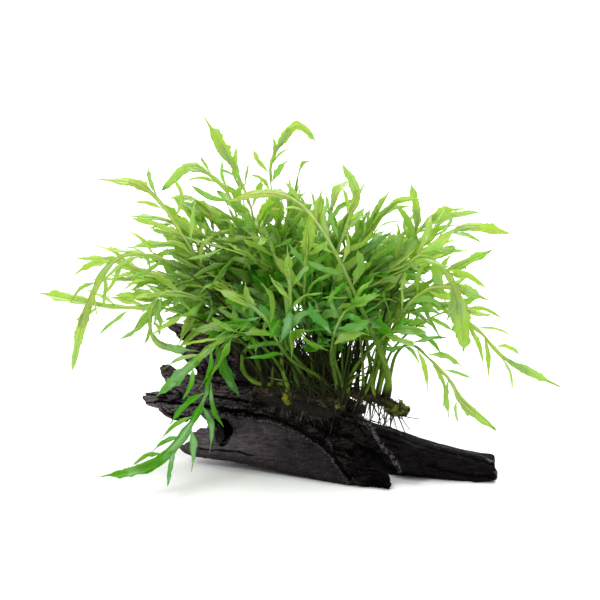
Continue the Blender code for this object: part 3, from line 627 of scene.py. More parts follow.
def heading(line, share):
    """Which way the line runs at a share of its length."""
    step = 1.5 / SPINE_STEPS
    return (at(line, share + step) - at(line, share - step)).normalized()


def length_of(line):
    return sum((b - a).length for a, b in zip(line, line[1:]))


def gather(bm, part):
    """Adds a finished mesh to a larger one."""
    mesh = bpy.data.meshes.new("part")
    part.to_mesh(mesh)
    part.free()
    bm.from_mesh(mesh)
    bpy.data.meshes.remove(mesh)


def add_tube(bm, points, radii, sides):
    """A closed tube through points, in a mesh that is still small. It returns its vertices in rows."""
    before, made = None, []
    for i, (point, radius) in enumerate(zip(points, radii)):
        way = points[min(i + 1, len(points) - 1)] - points[max(i - 1, 0)]
        turn = way.to_track_quat("Z", "Y").to_matrix().to_4x4()
        end = i in (0, len(points) - 1)
        ring = bmesh.ops.create_circle(bm, cap_ends=end, segments=sides, radius=radius,
                                       matrix=Matrix.Translation(point) @ turn)["verts"]
        edges = edges_of(ring)
        if before:
            bmesh.ops.bridge_loops(bm, edges=before + edges)
        before = edges
        made += ring
    return made


def roughen(bm, lumps, shift=0.0):
    """Moves the mesh out by lumps, each with its height and size in mm, and by the shift."""
    bm.normal_update()
    for vert in bm.verts:
        lift = sum(height * noise.noise(vert.co / (size * MM)) for height, size in lumps) + shift
        vert.co += vert.normal * lift * MM


RHIZOME_LINES = {name: line_through(row) for name, row in RHIZOMES.items()}

rhizome_finish = Finish("rhizome_scales", Roughness=0.6, Specular_IOR_Level=0.12)
f = rhizome_finish
here = f.place()
scales = f.cloud(here, 420, 4, 0.6)
mossy = f.between(f.cloud(here, 90, 3), 0.52, 0.62)
stem = f.mix(f.between(scales, 0.35, 0.65), (0.006, 0.005, 0.003), (0.036, 0.030, 0.010))
f.feed(
    Base_Color=f.mix(mossy * 0.6, stem, (0.060, 0.080, 0.008)),
    Normal=f.bump(scales, 0.8, 1.0 * MM),
)

for name, line in RHIZOME_LINES.items():
    bm = bmesh.new()
    radii = []
    for i in range(RHIZOME_STEPS + 1):
        end = min(i, RHIZOME_STEPS - i) / RHIZOME_END
        radii.append(RHIZOME_CORE * (0.35 + 0.65 * min(1, end) ** 0.5) + RHIZOME_RING * (i % 4 == 0))
    add_tube(bm, spaced(line, RHIZOME_STEPS), radii, RHIZOME_SIDES)
    roughen(bm, RHIZOME_LUMPS)
    bmesh.ops.recalc_face_normals(bm, faces=bm.faces)
    rhizome = add_piece("scaly_rhizome_" + name, bm, rhizome_finish)
    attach(rhizome, "root")
    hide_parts("rhizome_" + name)


# Root mat: old roots matted into a dark spongy cushion between the rhizomes and the wood.

MAT_FINE_VOXEL = 1.1 * MM
MAT_LUMPS = ((1.6, 4.5), (0.9, 1.8))
MAT_LOBES = {
    "under_left": ((-42, 58, 56, 3, 3, 0), (-22, 53, 53, 6, 5, 0), (-4, 47, 50, 6, 5, 0)),
    "under_front": ((-28, 47, 43, 3, 4, 0), (-8, 40, 40, 6, 5, 0), (12, 33, 37, 6, 5, 0),
                    (28, 29, 35, 4, 4, 0)),
    "under_right": ((0, 44, 46, 6, 5, 0), (18, 38, 43, 6, 5, 0), (34, 33, 41, 4, 4, 0),
                    (43, 31, 39, 3, 3, 0)),
    "between": ((-20, 48, 46, 7, 7, 0), (4, 41, 43, 8, 7, 0), (24, 34, 40, 5, 5, 0)),
}

root_finish = Finish("matted_roots", Roughness=0.8, Specular_IOR_Level=0.2)
f = root_finish
here = f.place()
strands = f.cloud(here, 900, 5, 0.7)
f.feed(
    Base_Color=f.mix(f.between(strands, 0.35, 0.7), (0.003, 0.002, 0.002), (0.024, 0.019, 0.013)),
    Normal=f.bump(strands, 0.9, 1.2 * MM),
)

mat_mesh = bmesh.new()
add_planks(mat_mesh, MAT_LOBES)
bmesh.ops.recalc_face_normals(mat_mesh, faces=mat_mesh.faces)
raw_mat = as_object("raw_mat", mat_mesh)
modifier(raw_mat, "REMESH", mode="VOXEL", voxel_size=MAT_FINE_VOXEL)
mat_mesh = baked(raw_mat)
roughen(mat_mesh, MAT_LUMPS, -0.2)
mat = add_piece("matted_root_cushion", mat_mesh, root_finish)
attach(mat, "root")
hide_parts("root_mat")


# Fronds: each one leaf, a wiry stalk whose upper half carries leaflets on both sides and a lobed end
# leaflet. The leaflets are thin, toothed and wavy. Each frond follows the way that its solid took.

STALK_WIDTH = 2.4 * MM
STALK_THICKNESS = 2.0 * MM
FOOT_SPACING = 4.8 * MM
FOOT_ROWS_DEG = (44, 0, -44)
FEET_TO_TRY = 12
STALKS_END = {"left": 1.0, "front": 1.0, "right": 0.78}  # the share of each rhizome that bears them
TOUCH_GAP = 0.3 * MM
BLADE_END = 0.80
END_LEAFLET_WIDTH = 8.0 * MM
LEAFLET_FORWARD_DEG = 40
LEAFLET_WIDEST = 0.42
LEAFLET_DROOP = 0.16
BARE_STEPS = 3
SIDESTEPS = (
    (0, 0), (0, 6), (0, -6), (5, 3), (-5, 3), (0, 12), (0, -12), (6, -6), (-6, -6),
    (9, 9), (-9, 9), (0, 18), (0, -18), (12, 0), (-12, 0), (12, -12), (-12, -12),
)
LIFTS_DEG = (0, 12, -12, 24, -24, 36, -36, 48, -48)
SHORTENED = (1.0, 0.7, 0.5)
LEAFLET_MISS = 0.9 * MM  # beyond this a leaflet isn't in the solid

# One row each: name, rhizome, place along it from 0 to 1, points that the rachis passes and its tip
# in mm, turn of the blade in degrees (0 faces up, 90 faces the front), number of side leaflets, and
# length of the longest one in mm.
FRONDS = (
    ("long_front_left", "front", 0.06,
     ((-38, 22, 88), (-50, 0, 90), (-56, -14, 76), (-64, -26, 57), (-76, -36, 39), (-96, -42, 23),
      (-127, -46, 17)), 60, 8, 30),
    ("short_front_left", "front", 0.34,
     ((-28, 14, 90), (-46, -4, 98), (-64, -10, 86), (-93, -22, 62)), 60, 6, 30),
    ("crown_left", "left", 0.92, ((-24, 50, 135), (-36, 52, 181), (-62, 56, 229)), 80, 6, 26),
    ("crown_right", "right", 0.10,
     ((-10, 44, 145), (-19, 42, 197), (-3, 40, 226), (12, 40, 215)), 85, 5, 24),
    ("upper_left", "left", 0.35,
     ((-58, 34, 120), (-73, 20, 155), (-99, 20, 190), (-132, 18, 197)), 75, 7, 36),
    ("arch_left", "left", 0.62,
     ((-38, 55, 150), (-49, 60, 180), (-71, 62, 194), (-90, 60, 179)), 45, 6, 28),
    ("middle_left", "left", 0.08, ((-60, 66, 120), (-78, 70, 139), (-114, 70, 138)), 60, 7, 32),
    ("far_left_high", "left", 0.22,
     ((-64, 40, 108), (-97, 30, 130), (-120, 28, 140), (-144, 26, 142)), 55, 8, 34),
    ("far_left_low", "front", 0.12,
     ((-54, 24, 95), (-84, 10, 114), (-117, 8, 116), (-168, 6, 126)), 50, 8, 34),
    ("drooping_left", "front", 0.25,
     ((-60, 14, 125), (-98, -6, 153), (-122, -10, 146), (-137, -12, 115), (-146, -14, 78)),
     70, 9, 28),
    ("curled_left", "front", 0.04,
     ((-60, 10, 112), (-97, -4, 128), (-108, -5, 110), (-102, -5, 93), (-76, -5, 88)), 80, 6, 18),
    ("over_wall", "left", 0.50,
     ((-34, 44, 120), (-42, 32, 141), (-54, 28, 126), (-66, 26, 110), (-80, 26, 82)), 70, 8, 28),
    ("level_left", "front", 0.48, ((-20, 20, 82), (-34, 10, 98), (-50, 6, 102), (-74, 4, 99)),
     55, 4, 28),
    ("hanging_right", "right", 0.78,
     ((56, 20, 110), (75, -8, 152), (94, -15, 142), (101, -17, 122), (105, -18, 94)), 75, 5, 36),
    ("far_right", "right", 0.90,
     ((58, 26, 95), (70, 14, 120), (97, 10, 110), (116, 8, 98), (133, 6, 80), (168, 4, 62)),
     60, 9, 30),
    ("low_right", "right", 1.0,
     ((62, 16, 80), (72, -2, 92), (86, -8, 81), (97, -10, 70), (103, -12, 57), (126, -14, 38)),
     60, 9, 26),
    ("level_right", "right", 0.70, ((50, 12, 88), (62, 2, 100), (81, -2, 100)), 55, 4, 26),
    ("upper_right", "right", 0.60,
     ((46, 32, 100), (62, 26, 128), (85, 25, 152), (107, 24, 163), (135, 22, 160)), 55, 8, 34),
    ("right_behind", "right", 0.52, ((50, 50, 100), (85, 46, 122), (104, 46, 133), (125, 46, 143)),
     50, 7, 32),
    ("right_front", "right", 0.84, ((60, 10, 100), (78, -6, 128), (98, -10, 132), (121, -12, 124)),
     50, 7, 34),
    ("right_high", "right", 0.44,
     ((42, 62, 105), (60, 68, 133), (78, 70, 150), (94, 70, 162), (108, 68, 165)), 60, 7, 30),
    ("spear_right", "right", 0.36, ((50, 58, 110), (73, 60, 148), (76, 60, 166), (72, 60, 185)),
     85, 4, 24),
    ("crown_middle", "right", 0.28,
     ((18, 30, 110), (24, 12, 150), (31, 10, 171), (36, 10, 189), (27, 10, 208)), 85, 8, 32),
    ("leaning_back", "right", 0.95,
     ((54, 4, 80), (38, -10, 121), (20, -12, 160), (0, -10, 187), (-22, -8, 194), (-46, -8, 188)),
     50, 10, 30),
    ("short_middle", "right", 0.18, ((8, 32, 120), (10, 26, 160), (14, 24, 188)), 75, 6, 24),
    ("front_middle", "front", 0.62, ((-8, 4, 90), (-6, -16, 125), (-8, -32, 165)), 80, 7, 38),
    ("front_middle_left", "front", 0.76, ((-8, -2, 84), (-26, -24, 120), (-54, -40, 140)),
     60, 7, 36),
    ("front_middle_right", "front", 0.92, ((20, 2, 86), (28, -20, 118), (50, -42, 136)), 55, 7, 36),
    ("front_low_left", "front", 0.56, ((-14, 8, 88), (-18, -12, 110), (-24, -38, 106)), 55, 6, 34),
    ("front_low_right", "front", 1.0, ((22, 8, 84), (38, -8, 106), (60, -28, 104)), 55, 6, 34),
    ("front_top", "right", 0.12, ((6, 14, 112), (10, -4, 150), (12, -20, 184)), 80, 7, 36),
)

# The inner and rear fronds fan out round the middle of the plant by a rule.
INNER_FRONDS = 18
INNER_TRIES = 400
GOLDEN_ANGLE = math.radians(137.5)
INNER_STAGES = ((0.14, 0.5), (0.56, 0.93), (1.0, 1.0))
INNER_REACH = (16 * MM, 104 * MM)
INNER_HEIGHT = (196 * MM, 120 * MM)
INNER_LEAFLETS = 5
INNER_LEAFLET_LENGTH = 34 * MM


def foot_places(line, end):
    """The places for stalks along a rhizome up to this share of it, as pairs of share and row."""
    count = int(length_of(line) * end / FOOT_SPACING)
    return [((i + 0.5) / count * end, row) for i in range(count) for row in FOOT_ROWS_DEG]


def foot_on(line, place):
    """Where a stalk leaves the rhizome, and the way it leaves."""
    share, row = place
    along = heading(line, share)
    up = (Vector((0, 0, 1)) - along * along.z).normalized()
    outward = up + along.cross(up) * -math.tan(math.radians(row))
    outward.normalize()
    start = RHIZOME_RADIUS * 1.06 + TOUCH_GAP + STALK_THICKNESS / 2
    return at(line, share) + outward * start, (outward + up).normalized()


def hand_placed_ways(line, end, wanted, points):
    wanted = wanted * end
    lean = points[0][1] - at(line, wanted).y / MM
    row = max(FOOT_ROWS_DEG[-1], min(FOOT_ROWS_DEG[0], -2 * lean))
    places = sorted(foot_places(line, end), key=lambda p: abs(p[0] - wanted) + abs(p[1] - row) / 200)
    ways = []
    for sidestep in SIDESTEPS:
        aside = Vector((*sidestep, 0)) * MM
        moved = [Vector(p) * MM + aside * min(1, 0.5 + 0.5 * i) for i, p in enumerate(points)]
        ways += [(foot_on(line, place), moved) for place in places[:FEET_TO_TRY]]
    return ways


def inner_ways(number):
    draw = random.Random(number)
    share = math.sqrt((number + 0.5) / INNER_FRONDS)
    ways = []
    for _ in range(INNER_TRIES):
        angle = GOLDEN_ANGLE * number + draw.uniform(-0.7, 0.7)
        out = Vector((math.cos(angle), math.sin(angle), 0))
        reach = INNER_REACH[0] + (INNER_REACH[1] - INNER_REACH[0]) * share + draw.uniform(-9, 9) * MM
        height = INNER_HEIGHT[0] + (INNER_HEIGHT[1] - INNER_HEIGHT[0]) * share**1.5
        height += draw.uniform(-18, 18) * MM
        nearest = "left" if out.x < -0.25 else "right"
        if out.y < -0.35 and out.x < 0.6:
            nearest = "front"
        chosen = draw.choice((nearest, nearest, "left", "right"))
        line = RHIZOME_LINES[chosen]
        foot, leaving = foot_on(line, draw.choice(foot_places(line, STALKS_END[chosen])))
        rise = Vector((0, 0, height - foot.z))
        points = [foot + out * reach * far + rise * high for far, high in INNER_STAGES]
        ways.append(((foot, leaving), points))
    return ways


def frond_list():
    """Every frond: name, ways that it may take, face, number of leaflets, length of the longest."""
    fronds = []
    for name, rhizome, wanted, points, turn, leaflets, longest in FRONDS:
        turn = math.radians(turn)
        face = Vector((0, -math.sin(turn), math.cos(turn)))
        ways = hand_placed_ways(RHIZOME_LINES[rhizome], STALKS_END[rhizome], wanted, points)
        fronds.append((name, ways, face, leaflets, longest * MM))
    for number in range(INNER_FRONDS):
        draw = random.Random(-1 - number)
        angle = GOLDEN_ANGLE * number
        face = Vector((-math.cos(angle), -math.sin(angle), 0.55)).normalized()
        face = (face + Vector([draw.uniform(-0.45, 0.45) for _ in range(3)])).normalized()
        longest = INNER_LEAFLET_LENGTH * draw.uniform(0.88, 1.12)
        fronds.append((f"inner_{number + 1:02d}", inner_ways(number), face, INNER_LEAFLETS, longest))
    return fronds


def blade_axes(line, share, face):
    """Along the rachis, to the right of it in the blade, and out of the blade's face."""
    along = heading(line, share)
    side = along.cross(face)
    side = side.normalized() if side.length > 0.05 else along.orthogonal().normalized()
    return along, side, side.cross(along)


def leaflet_plan(line, leaflets, longest, draw):
    """Each side leaflet as start share, end share, side (1 or -1), length, width and sideways bend."""
    first = max(0.34, BLADE_END - leaflets * longest * 0.27 / length_of(line))
    step = (BLADE_END - first) / leaflets
    side = draw.choice((-1, 1))
    plan = []
    for i in range(leaflets):
        t = (i + 0.5) / leaflets
        size = 0.62 + 0.38 * math.sin(math.pi * min(1, 0.18 + 0.95 * t))
        length = longest * size * draw.uniform(0.84, 1.08)
        width = (0.16 * length + 2.0 * MM) * draw.uniform(0.9, 1.12)
        bend = draw.uniform(-0.22, 0.22)
        plan.append((first + step * i, first + step * (i + 1), side, length, width, bend))
        side = -side
    return plan


class Leaflet:
    """The middle line of a leaflet: where it starts, which way it goes, and how it sags."""

    def __init__(self, line, face, leaf, lift, shortened):
        start, end, self.side, length, self.width, bend = leaf
        self.length = length * shortened
        middle = (start + end) / 2
        self.along, right, out = blade_axes(line, middle, face)
        right = right * self.side
        forward = math.radians(LEAFLET_FORWARD_DEG - 12 * middle)
        way = self.along * math.cos(forward) + right * math.sin(forward)
        self.across = right * math.cos(forward) - self.along * math.sin(forward)
        lift = math.radians(lift)
        self.way = way * math.cos(lift) + out * math.sin(lift)
        self.root = at(line, middle) + right * STALK_WIDTH / 2
        self.sag = (out * bend - Vector((0, 0, LEAFLET_DROOP))) * self.length
        self.out = out

    def place(self, share, offset=0.0):
        return self.root + self.way * self.length * share + self.sag * share**2 + self.across * offset

    def corners(self):
        half = self.width / 2
        return [self.place(LEAFLET_WIDEST, half), self.place(LEAFLET_WIDEST, -half), self.place(1)]


def corners_tree(node):
    """The corners of a frond's solid, to find the way that it took."""
    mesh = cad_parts[node].data
    tree = KDTree(len(mesh.vertices))
    for i, vert in enumerate(mesh.vertices):
        tree.insert(vert.co + ORIGIN, i)
    tree.balance()
    return tree


def furthest(tree, points):
    return max(tree.find(point)[2] for point in points)


def find_line(tree, ways, face, leaflets, longest, name):
    """The rachis that lies in the frond's solid, and the plan of its leaflets."""
    best = None
    for (foot, leaving), points in ways:
        if tree.find(points[-1])[2] > STALK_THICKNESS / 2 or tree.find(foot)[2] > STALK_WIDTH:
            continue
        line = smooth_line([foot, *points], first_way=leaving)
        plan = leaflet_plan(line, leaflets, longest, random.Random(name))
        shares = [plan[0][0] * i / BARE_STEPS for i in range(BARE_STEPS)] + [leaf[0] for leaf in plan]
        edges = []
        for share in shares:
            aside = blade_axes(line, share, face)[1] * STALK_WIDTH / 2
            edges += [at(line, share) - aside, at(line, share) + aside]
        miss = furthest(tree, edges)
        if best is None or miss < best[0]:
            best = (miss, line, plan)
    return best[1:]


def find_leaflet(tree, line, face, leaf):
    """The leaflet as it lies in the frond's solid, or None where the solid has none."""
    best = None
    for shortened in SHORTENED:
        for lift in LIFTS_DEG:
            leaflet = Leaflet(line, face, leaf, lift, shortened)
            miss = furthest(tree, leaflet.corners())
            if best is None or miss < best[0]:
                best = (miss, leaflet)
    return best[1] if best[0] < LEAFLET_MISS else None


LEAF_ROWS, LEAF_COLUMNS = 28, 4
LEAF_THICKNESS = 0.35 * MM
# The third layer holds a leaflet's painted light and shade, with a random change of tone.
LAYERS = ("along", "across", "painted_light_and_tone", "tint")
STALK_SIDES = 7
STALK_RADIUS = 1.25 * MM
OLD_TINT, GREEN_TINT = 0.9, 0.3  # the tints of an old stalk and of a green one
STALK_END = 0.97  # the share of the leaf's length where its stalk ends
STALK_ACROSS = 3  # what "across" is on a stalk, where a blade has -1 to 1
FOOT_DEPTH = 3.2 * MM  # how far a stalk goes into the rhizome
WING_END = 0.88
TOOTH_SPACING = 4.4 * MM
END_TEETH = 8.5
END_TOOTH_DEPTH, SIDE_TOOTH_DEPTH = 0.45, 0.32  # shares of the half width


def leaf_bmesh():
    """An empty mesh with a leaf's layers, and those layers by name."""
    bm = bmesh.new()
    return bm, {key: bm.verts.layers.float.new(key) for key in LAYERS}


def mark(vert, layers, *values):
    """Writes a point's values on a leaf's layers."""
    for key, value in zip(LAYERS, values):
        vert[layers[key]] = value


def saw(value):
    """A tooth that rises slowly and falls fast, from 0 to 1."""
    share = value % 1
    return share / 0.75 if share < 0.75 else (1 - share) / 0.25


def margin(share, seed, teeth, depth, tail, blunt):
    """How far out the margin lies at a share of the leaflet's length: a strap that widens from a
    winged foot and ends blunt, in a point or in a drawn-out tail, cut into irregular teeth."""
    body = (0.18 + 0.82 * eased(share / 0.36)) * (1 - share ** blunt) ** 0.8
    body *= 1 - 0.70 * eased((share - tail) / 0.14)
    place = share * teeth + seed + 1.5 * noise.noise(Vector((share * 4, seed * 7, 1)))
    ragged = 0.35 + 1.5 * max(0, noise.noise(Vector((share * 6, seed * 5, 2))) + 0.15)
    cut = depth * saw(place) * (0.4 + saw(place * 0.37)) * ragged
    cut += 0.44 * noise.noise(Vector((share * 5.0, seed * 9, 3)))
    return max(body * (0.84 + cut), 0.05)


def add_leaflet(bm, layers, centre, across_at, half, draw, teeth, depth, rows):
    """A toothed blade along centre(share), with across_at(share) to its right and half as width."""
    cup, wave, phase = draw.uniform(-0.3, 0.6), draw.uniform(0.08, 0.36), draw.uniform(0, 6)
    seeds = (draw.uniform(0, 9), draw.uniform(0, 9))
    waves = draw.uniform(7, 12)
    tail, blunt = draw.choice((2, 2, 0.66, 0.74, 0.82)), draw.choice((2.6, 4, 6, 9))
    painted_light_and_tone, tint = shade(centre(0.5), draw), draw.random()
    grid = bmesh.ops.create_grid(bm, x_segments=LEAF_COLUMNS, y_segments=rows, size=1)["verts"]
    for vert in grid:
        t, share = vert.co.x, (vert.co.y + 1) / 2
        right, out = across_at(share)
        edge = margin(share, seeds[t > 0], teeth, depth, tail, blunt) * half
        rise = cup * abs(t) ** 1.6 - 0.07 * max(0, 1 - abs(t) * 4)
        rise += wave * math.sin(waves * share + phase + (2.2 if t > 0 else 0)) * t * t
        mark(vert, layers, share, t, painted_light_and_tone, tint)
        vert.co = centre(share) + right * edge * t + out * rise * edge


def twisted(right, out, angle):
    """Two of the blade's axes, turned about the third."""
    level, rise = math.cos(angle), math.sin(angle)
    return right * level + out * rise, out * level - right * rise


def shade(point, draw):
    """How light a leaflet is painted, with a random change of tone: painted shade, about 0, in the
    middle of the plant and painted light, 1, at its tips, with more painted shade low down, near the
    left foot and in front, and more painted light at the far right."""
    x, y, z = (value / MM for value in point)
    out = Vector(((x - 5) / 130, (y - 40) / 240, (z - 90) / 98))
    low = eased((98 - z) / 40) * eased(0.9 - x / 90)
    left = eased((75 - z) / 40) * eased((-35 - x) / 30)
    right = eased((x - 70) / 40)
    front = eased((15 - y) / 40) * eased((80 - abs(x)) / 30)
    painted_light_and_tone = min(1.1, out.length ** 1.3) - 0.75 * low - 0.25 * left + 0.25 * right - 0.12 * front
    return painted_light_and_tone + draw.uniform(-0.40, 0.40)


def frond_mesh(name, face, line, plan, leaflets, rows=LEAF_ROWS, steps=40, thick=1.0, stout=1.0,
               broad=1.0, old=0.5, winged=1.0):
    """The whole frond: the stalk, end leaflet, side leaflets, and wings along the rachis. The share
    thick is for stalk and wings, stout for the stalk alone, broad for the leaflets and winged for the
    wings. A stalk is dark with age by the chance that old gives."""
    bm, layers = leaf_bmesh()
    draw = random.Random("leaf " + name)

    shares = [i / steps * STALK_END for i in range(steps + 1)]
    radii = []
    for share in shares:
        radius = STALK_RADIUS * thick * stout * (1 - 0.86 * share ** 0.7)
        radii.append(radius * (1.25 if share < 0.03 else 1))
    points = [at(line, share) for share in shares]
    points[0] = points[0] - heading(line, 0) * FOOT_DEPTH
    stalk = add_tube(bm, points, radii, STALK_SIDES)
    tint = OLD_TINT if draw.random() < old else GREEN_TINT
    for i, share in enumerate(shares):
        for vert in stalk[i * STALK_SIDES:(i + 1) * STALK_SIDES]:
            mark(vert, layers, share, STALK_ACROSS, shade(points[i], draw), tint)
    stalk_faces = set(bm.faces)

    end_start = plan[-1][0] + 0.35 * (plan[-1][1] - plan[-1][0])
    twist = draw.uniform(-1.0, 1.0)

    def end_centre(share):
        return at(line, end_start + (1 - end_start) * share)

    def end_across(share):
        _, right, out = blade_axes(line, end_start + (1 - end_start) * share, face)
        return twisted(right, out, twist * share)

    half = END_LEAFLET_WIDTH * broad * draw.uniform(0.32, 0.46)
    add_leaflet(bm, layers, end_centre, end_across, half, draw, END_TEETH, END_TOOTH_DEPTH, rows + 8)

    for leaflet in leaflets:
        roll, twist = draw.uniform(-0.6, 0.6), draw.uniform(-1.2, 1.2)
        curl = draw.uniform(-0.4, 0.8) * leaflet.length
        bow = draw.uniform(-0.16, 0.16) * leaflet.length
        ripple, phase = draw.uniform(0.01, 0.04) * leaflet.length, draw.uniform(0, 6)
        half = leaflet.width * (0.43 - 0.13 * shade(leaflet.place(0.5), draw))
        half *= draw.uniform(0.66, 1.16)
        half *= broad

        def centre(share, leaf=leaflet, curl=curl, bow=bow, ripple=ripple, phase=phase):
            tip = max(0, share - 0.5) ** 2
            lift = ripple * math.sin(6 * share + phase) * share - curl * tip
            return leaf.place(share, bow * math.sin(math.pi * share)) + leaf.out * lift

        def across_at(share, leaf=leaflet, roll=roll, twist=twist):
            return twisted(leaf.across * leaf.side, leaf.out * leaf.side, roll + twist * share)

        teeth = leaflet.length / TOOTH_SPACING
        add_leaflet(bm, layers, centre, across_at, half, draw, teeth, SIDE_TOOTH_DEPTH, rows)

    wing_start = plan[0][0]
    wing = bmesh.ops.create_grid(bm, x_segments=2, y_segments=rows, size=1)["verts"]
    for vert in wing:
        t, along = vert.co.x, (vert.co.y + 1) / 2
        share = wing_start + (WING_END - wing_start) * along
        _, right, out = blade_axes(line, share, face)
        ragged = 0.8 * noise.noise(Vector((along * 9, t, wing_start * 9)))
        half = (0.5 + 0.9 * along + ragged) * MM * winged
        mark(vert, layers, 0.5, t, shade(at(line, share), draw), 0.5)
        vert.co = at(line, share) + right * half * thick * t
    blades = [face for face in bm.faces if face not in stalk_faces]
    bmesh.ops.solidify(bm, geom=blades, thickness=LEAF_THICKNESS)
    bmesh.ops.recalc_face_normals(bm, faces=bm.faces)
    return bm


leaf_finish = Finish("frond_leaf", Specular_IOR_Level=0.16, Coat_Roughness=0.20)
f = leaf_finish
here = f.place()
painted_light_and_tone = f.attribute("painted_light_and_tone")
tint = f.attribute("tint")
along = f.attribute("along")
across = f.attribute("across")
patches = f.cloud(here, 60, 3)
cells = f.cloud(here, 900, 3, 0.6)
wrinkles = f.cloud(here, 260, 2)
aside = across * across * (1 - f.between(across, 1.2, 1.4))
midrib = 1 - f.between(aside, 0.002, 0.02)
stalk = f.between(across, 1.5, 2.0)
# lit is the leaflet's painted light, from painted shade deep in the plant to painted light at its tips,
# broken by random patches.
lit = f.between(painted_light_and_tone + patches * 0.5, 0.22, 1.32)
ribbed = f.node("CombineXYZ", None, {0: along * 26 - across * across * 4, 1: across * 0.6}).outputs[0]
veins = f.cloud(ribbed, 1.0, 2)
tips = f.between(along, 0.86, 0.97) * f.between(tint * 7 - f.cloud(here, 33, 1), 4.7, 4.8)
# The green is a shaded and a lit copy of one colour, mixed by the painted light.
green = f.layered(
    f.mix(lit, (0.034, 0.268, 0.001), (0.67, 0.67, 0.19)),
    ((1 - f.between(painted_light_and_tone, -0.9, 0.1)) * 0.65, (0.012, 0.085, 0.002)),  # painted shade deep in the plant
    (f.between(tint, 0.62, 0.80) * 0.45, (0.18, 0.44, 0.16)),  # bluish leaflets
    ((1 - f.between(tint, 0.12, 0.28)) * lit * 0.35, (0.54, 0.64, 0.05)),  # young ones, yellower where the painted light falls
    (f.between(aside, 0.30, 1.0) * 0.40 * lit, (0.46, 0.60, 0.03)),  # margins, lighter and yellower with the painted light
    ((1 - aside) * f.between(patches, 0.50, 0.60) * 0.50, (0.36, 0.54, 0.34)),  # pale patches: a painted sheen
    (f.between(veins, 0.50, 0.66) * 0.22, (0.03, 0.17, 0.006)),
    (f.between(cells, 0.40, 0.62) * 0.18, (0.05, 0.24, 0.008)),
    (midrib * 0.30, (0.30, 0.42, 0.08)),
    (tips * (1 - stalk), (0.05, 0.03, 0.02)),  # dead tips
)
aged = f.between(tint, 0.70, 0.85) * (0.94 - 0.60 * f.between(along, 0.32, 0.55))
stem = f.layered(
    f.mix(f.between(along, 0.02, 0.45), (0.13, 0.24, 0.016), (0.10, 0.22, 0.018)),
    (aged, (0.014, 0.010, 0.004)),
    ((1 - f.between(painted_light_and_tone, -0.3, 0.5)) * 0.60, (0.012, 0.020, 0.004)),  # painted shade deep in the plant
    (f.between(f.cloud(here, 160, 3), 0.50, 0.66) * 0.5, (0.030, 0.022, 0.008)),  # scars
    (1 - f.between(along, 0.01, 0.05), (0.020, 0.013, 0.006)),  # the foot
    (f.between(along, 0.42, 0.64), green),
)
f.feed(
    Base_Color=f.mix(stalk, green, stem),
    Roughness=0.24 + 0.20 * cells + 0.40 * stalk,
    Coat_Weight=f.between(patches, 0.42, 0.53) * (1 - stalk) * (0.45 + 0.55 * lit),
    Normal=f.bump(cells, 0.35, 0.4 * MM, f.bump(wrinkles, 0.5, 1.2 * MM)),
)
through = f.node("BsdfTranslucent", None, {"Color": (0.49, 0.80, 0.06)})
# More of a leaflet lets light through where it is painted lit.
share = f.node("MixShader", None, {0: (0.38 + 0.20 * lit) * (1 - stalk * 0.8), 1: f.shader.outputs[0],
                                   2: through.outputs[0]})
f.tree.links.new(share.outputs[0], f.output.inputs["Surface"])

# What sets a frond apart: how broad its leaflets and its wings are, how stout its stalk is, and the
# chance that the stalk is old.
TRAITS = {
    "hanging_right": {"broad": 1.7, "winged": 1.6},
    "right_behind": {"broad": 1.5},
    "upper_right": {"broad": 1.3},
    "crown_left": {"broad": 1.2},
    "short_front_left": {"broad": 0.85, "winged": 2.2, "stout": 1.3, "old": 0.0},
    "long_front_left": {"broad": 0.85, "winged": 2.4},
    "drooping_left": {"winged": 1.6},
    "far_left_low": {"winged": 1.6},
    "over_wall": {"winged": 1.5},
    "leaning_back": {"stout": 2.1, "old": 0.0},
    "right_front": {"stout": 1.4, "old": 0.0},
    "low_right": {"stout": 1.3, "old": 0.0},
}
for name, ways, face, count, longest in frond_list():
    tree = corners_tree("frond_" + name)
    line, plan = find_line(tree, ways, face, count, longest, name)
    found = [leaflet for leaflet in (find_leaflet(tree, line, face, leaf) for leaf in plan) if leaflet]
    traits = {"winged": 1.1, "old": 0.6 if at(line, 0).x < 10 * MM else 0.2}
    if name.startswith("front"):
        traits.update(stout=1.35, old=0.0)
    bm = frond_mesh(name, face, line, plan, found, **{**traits, **TRAITS.get(name, {})})
    frond = add_piece("leaf_" + name, bm, leaf_finish)
    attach(frond, "root")
    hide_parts("frond_" + name)


# Shade fronds: the many shorter leaves that fill the plant's middle, between the long ones. They are
# thin meshes only, and each group of them is one piece.

SHADE_ROWS, SHADE_STEPS = 16, 18
LOWEST_LEAFLET = 85 * MM
CLUMPS = 7  # the places on each rhizome that the shade fronds grow from
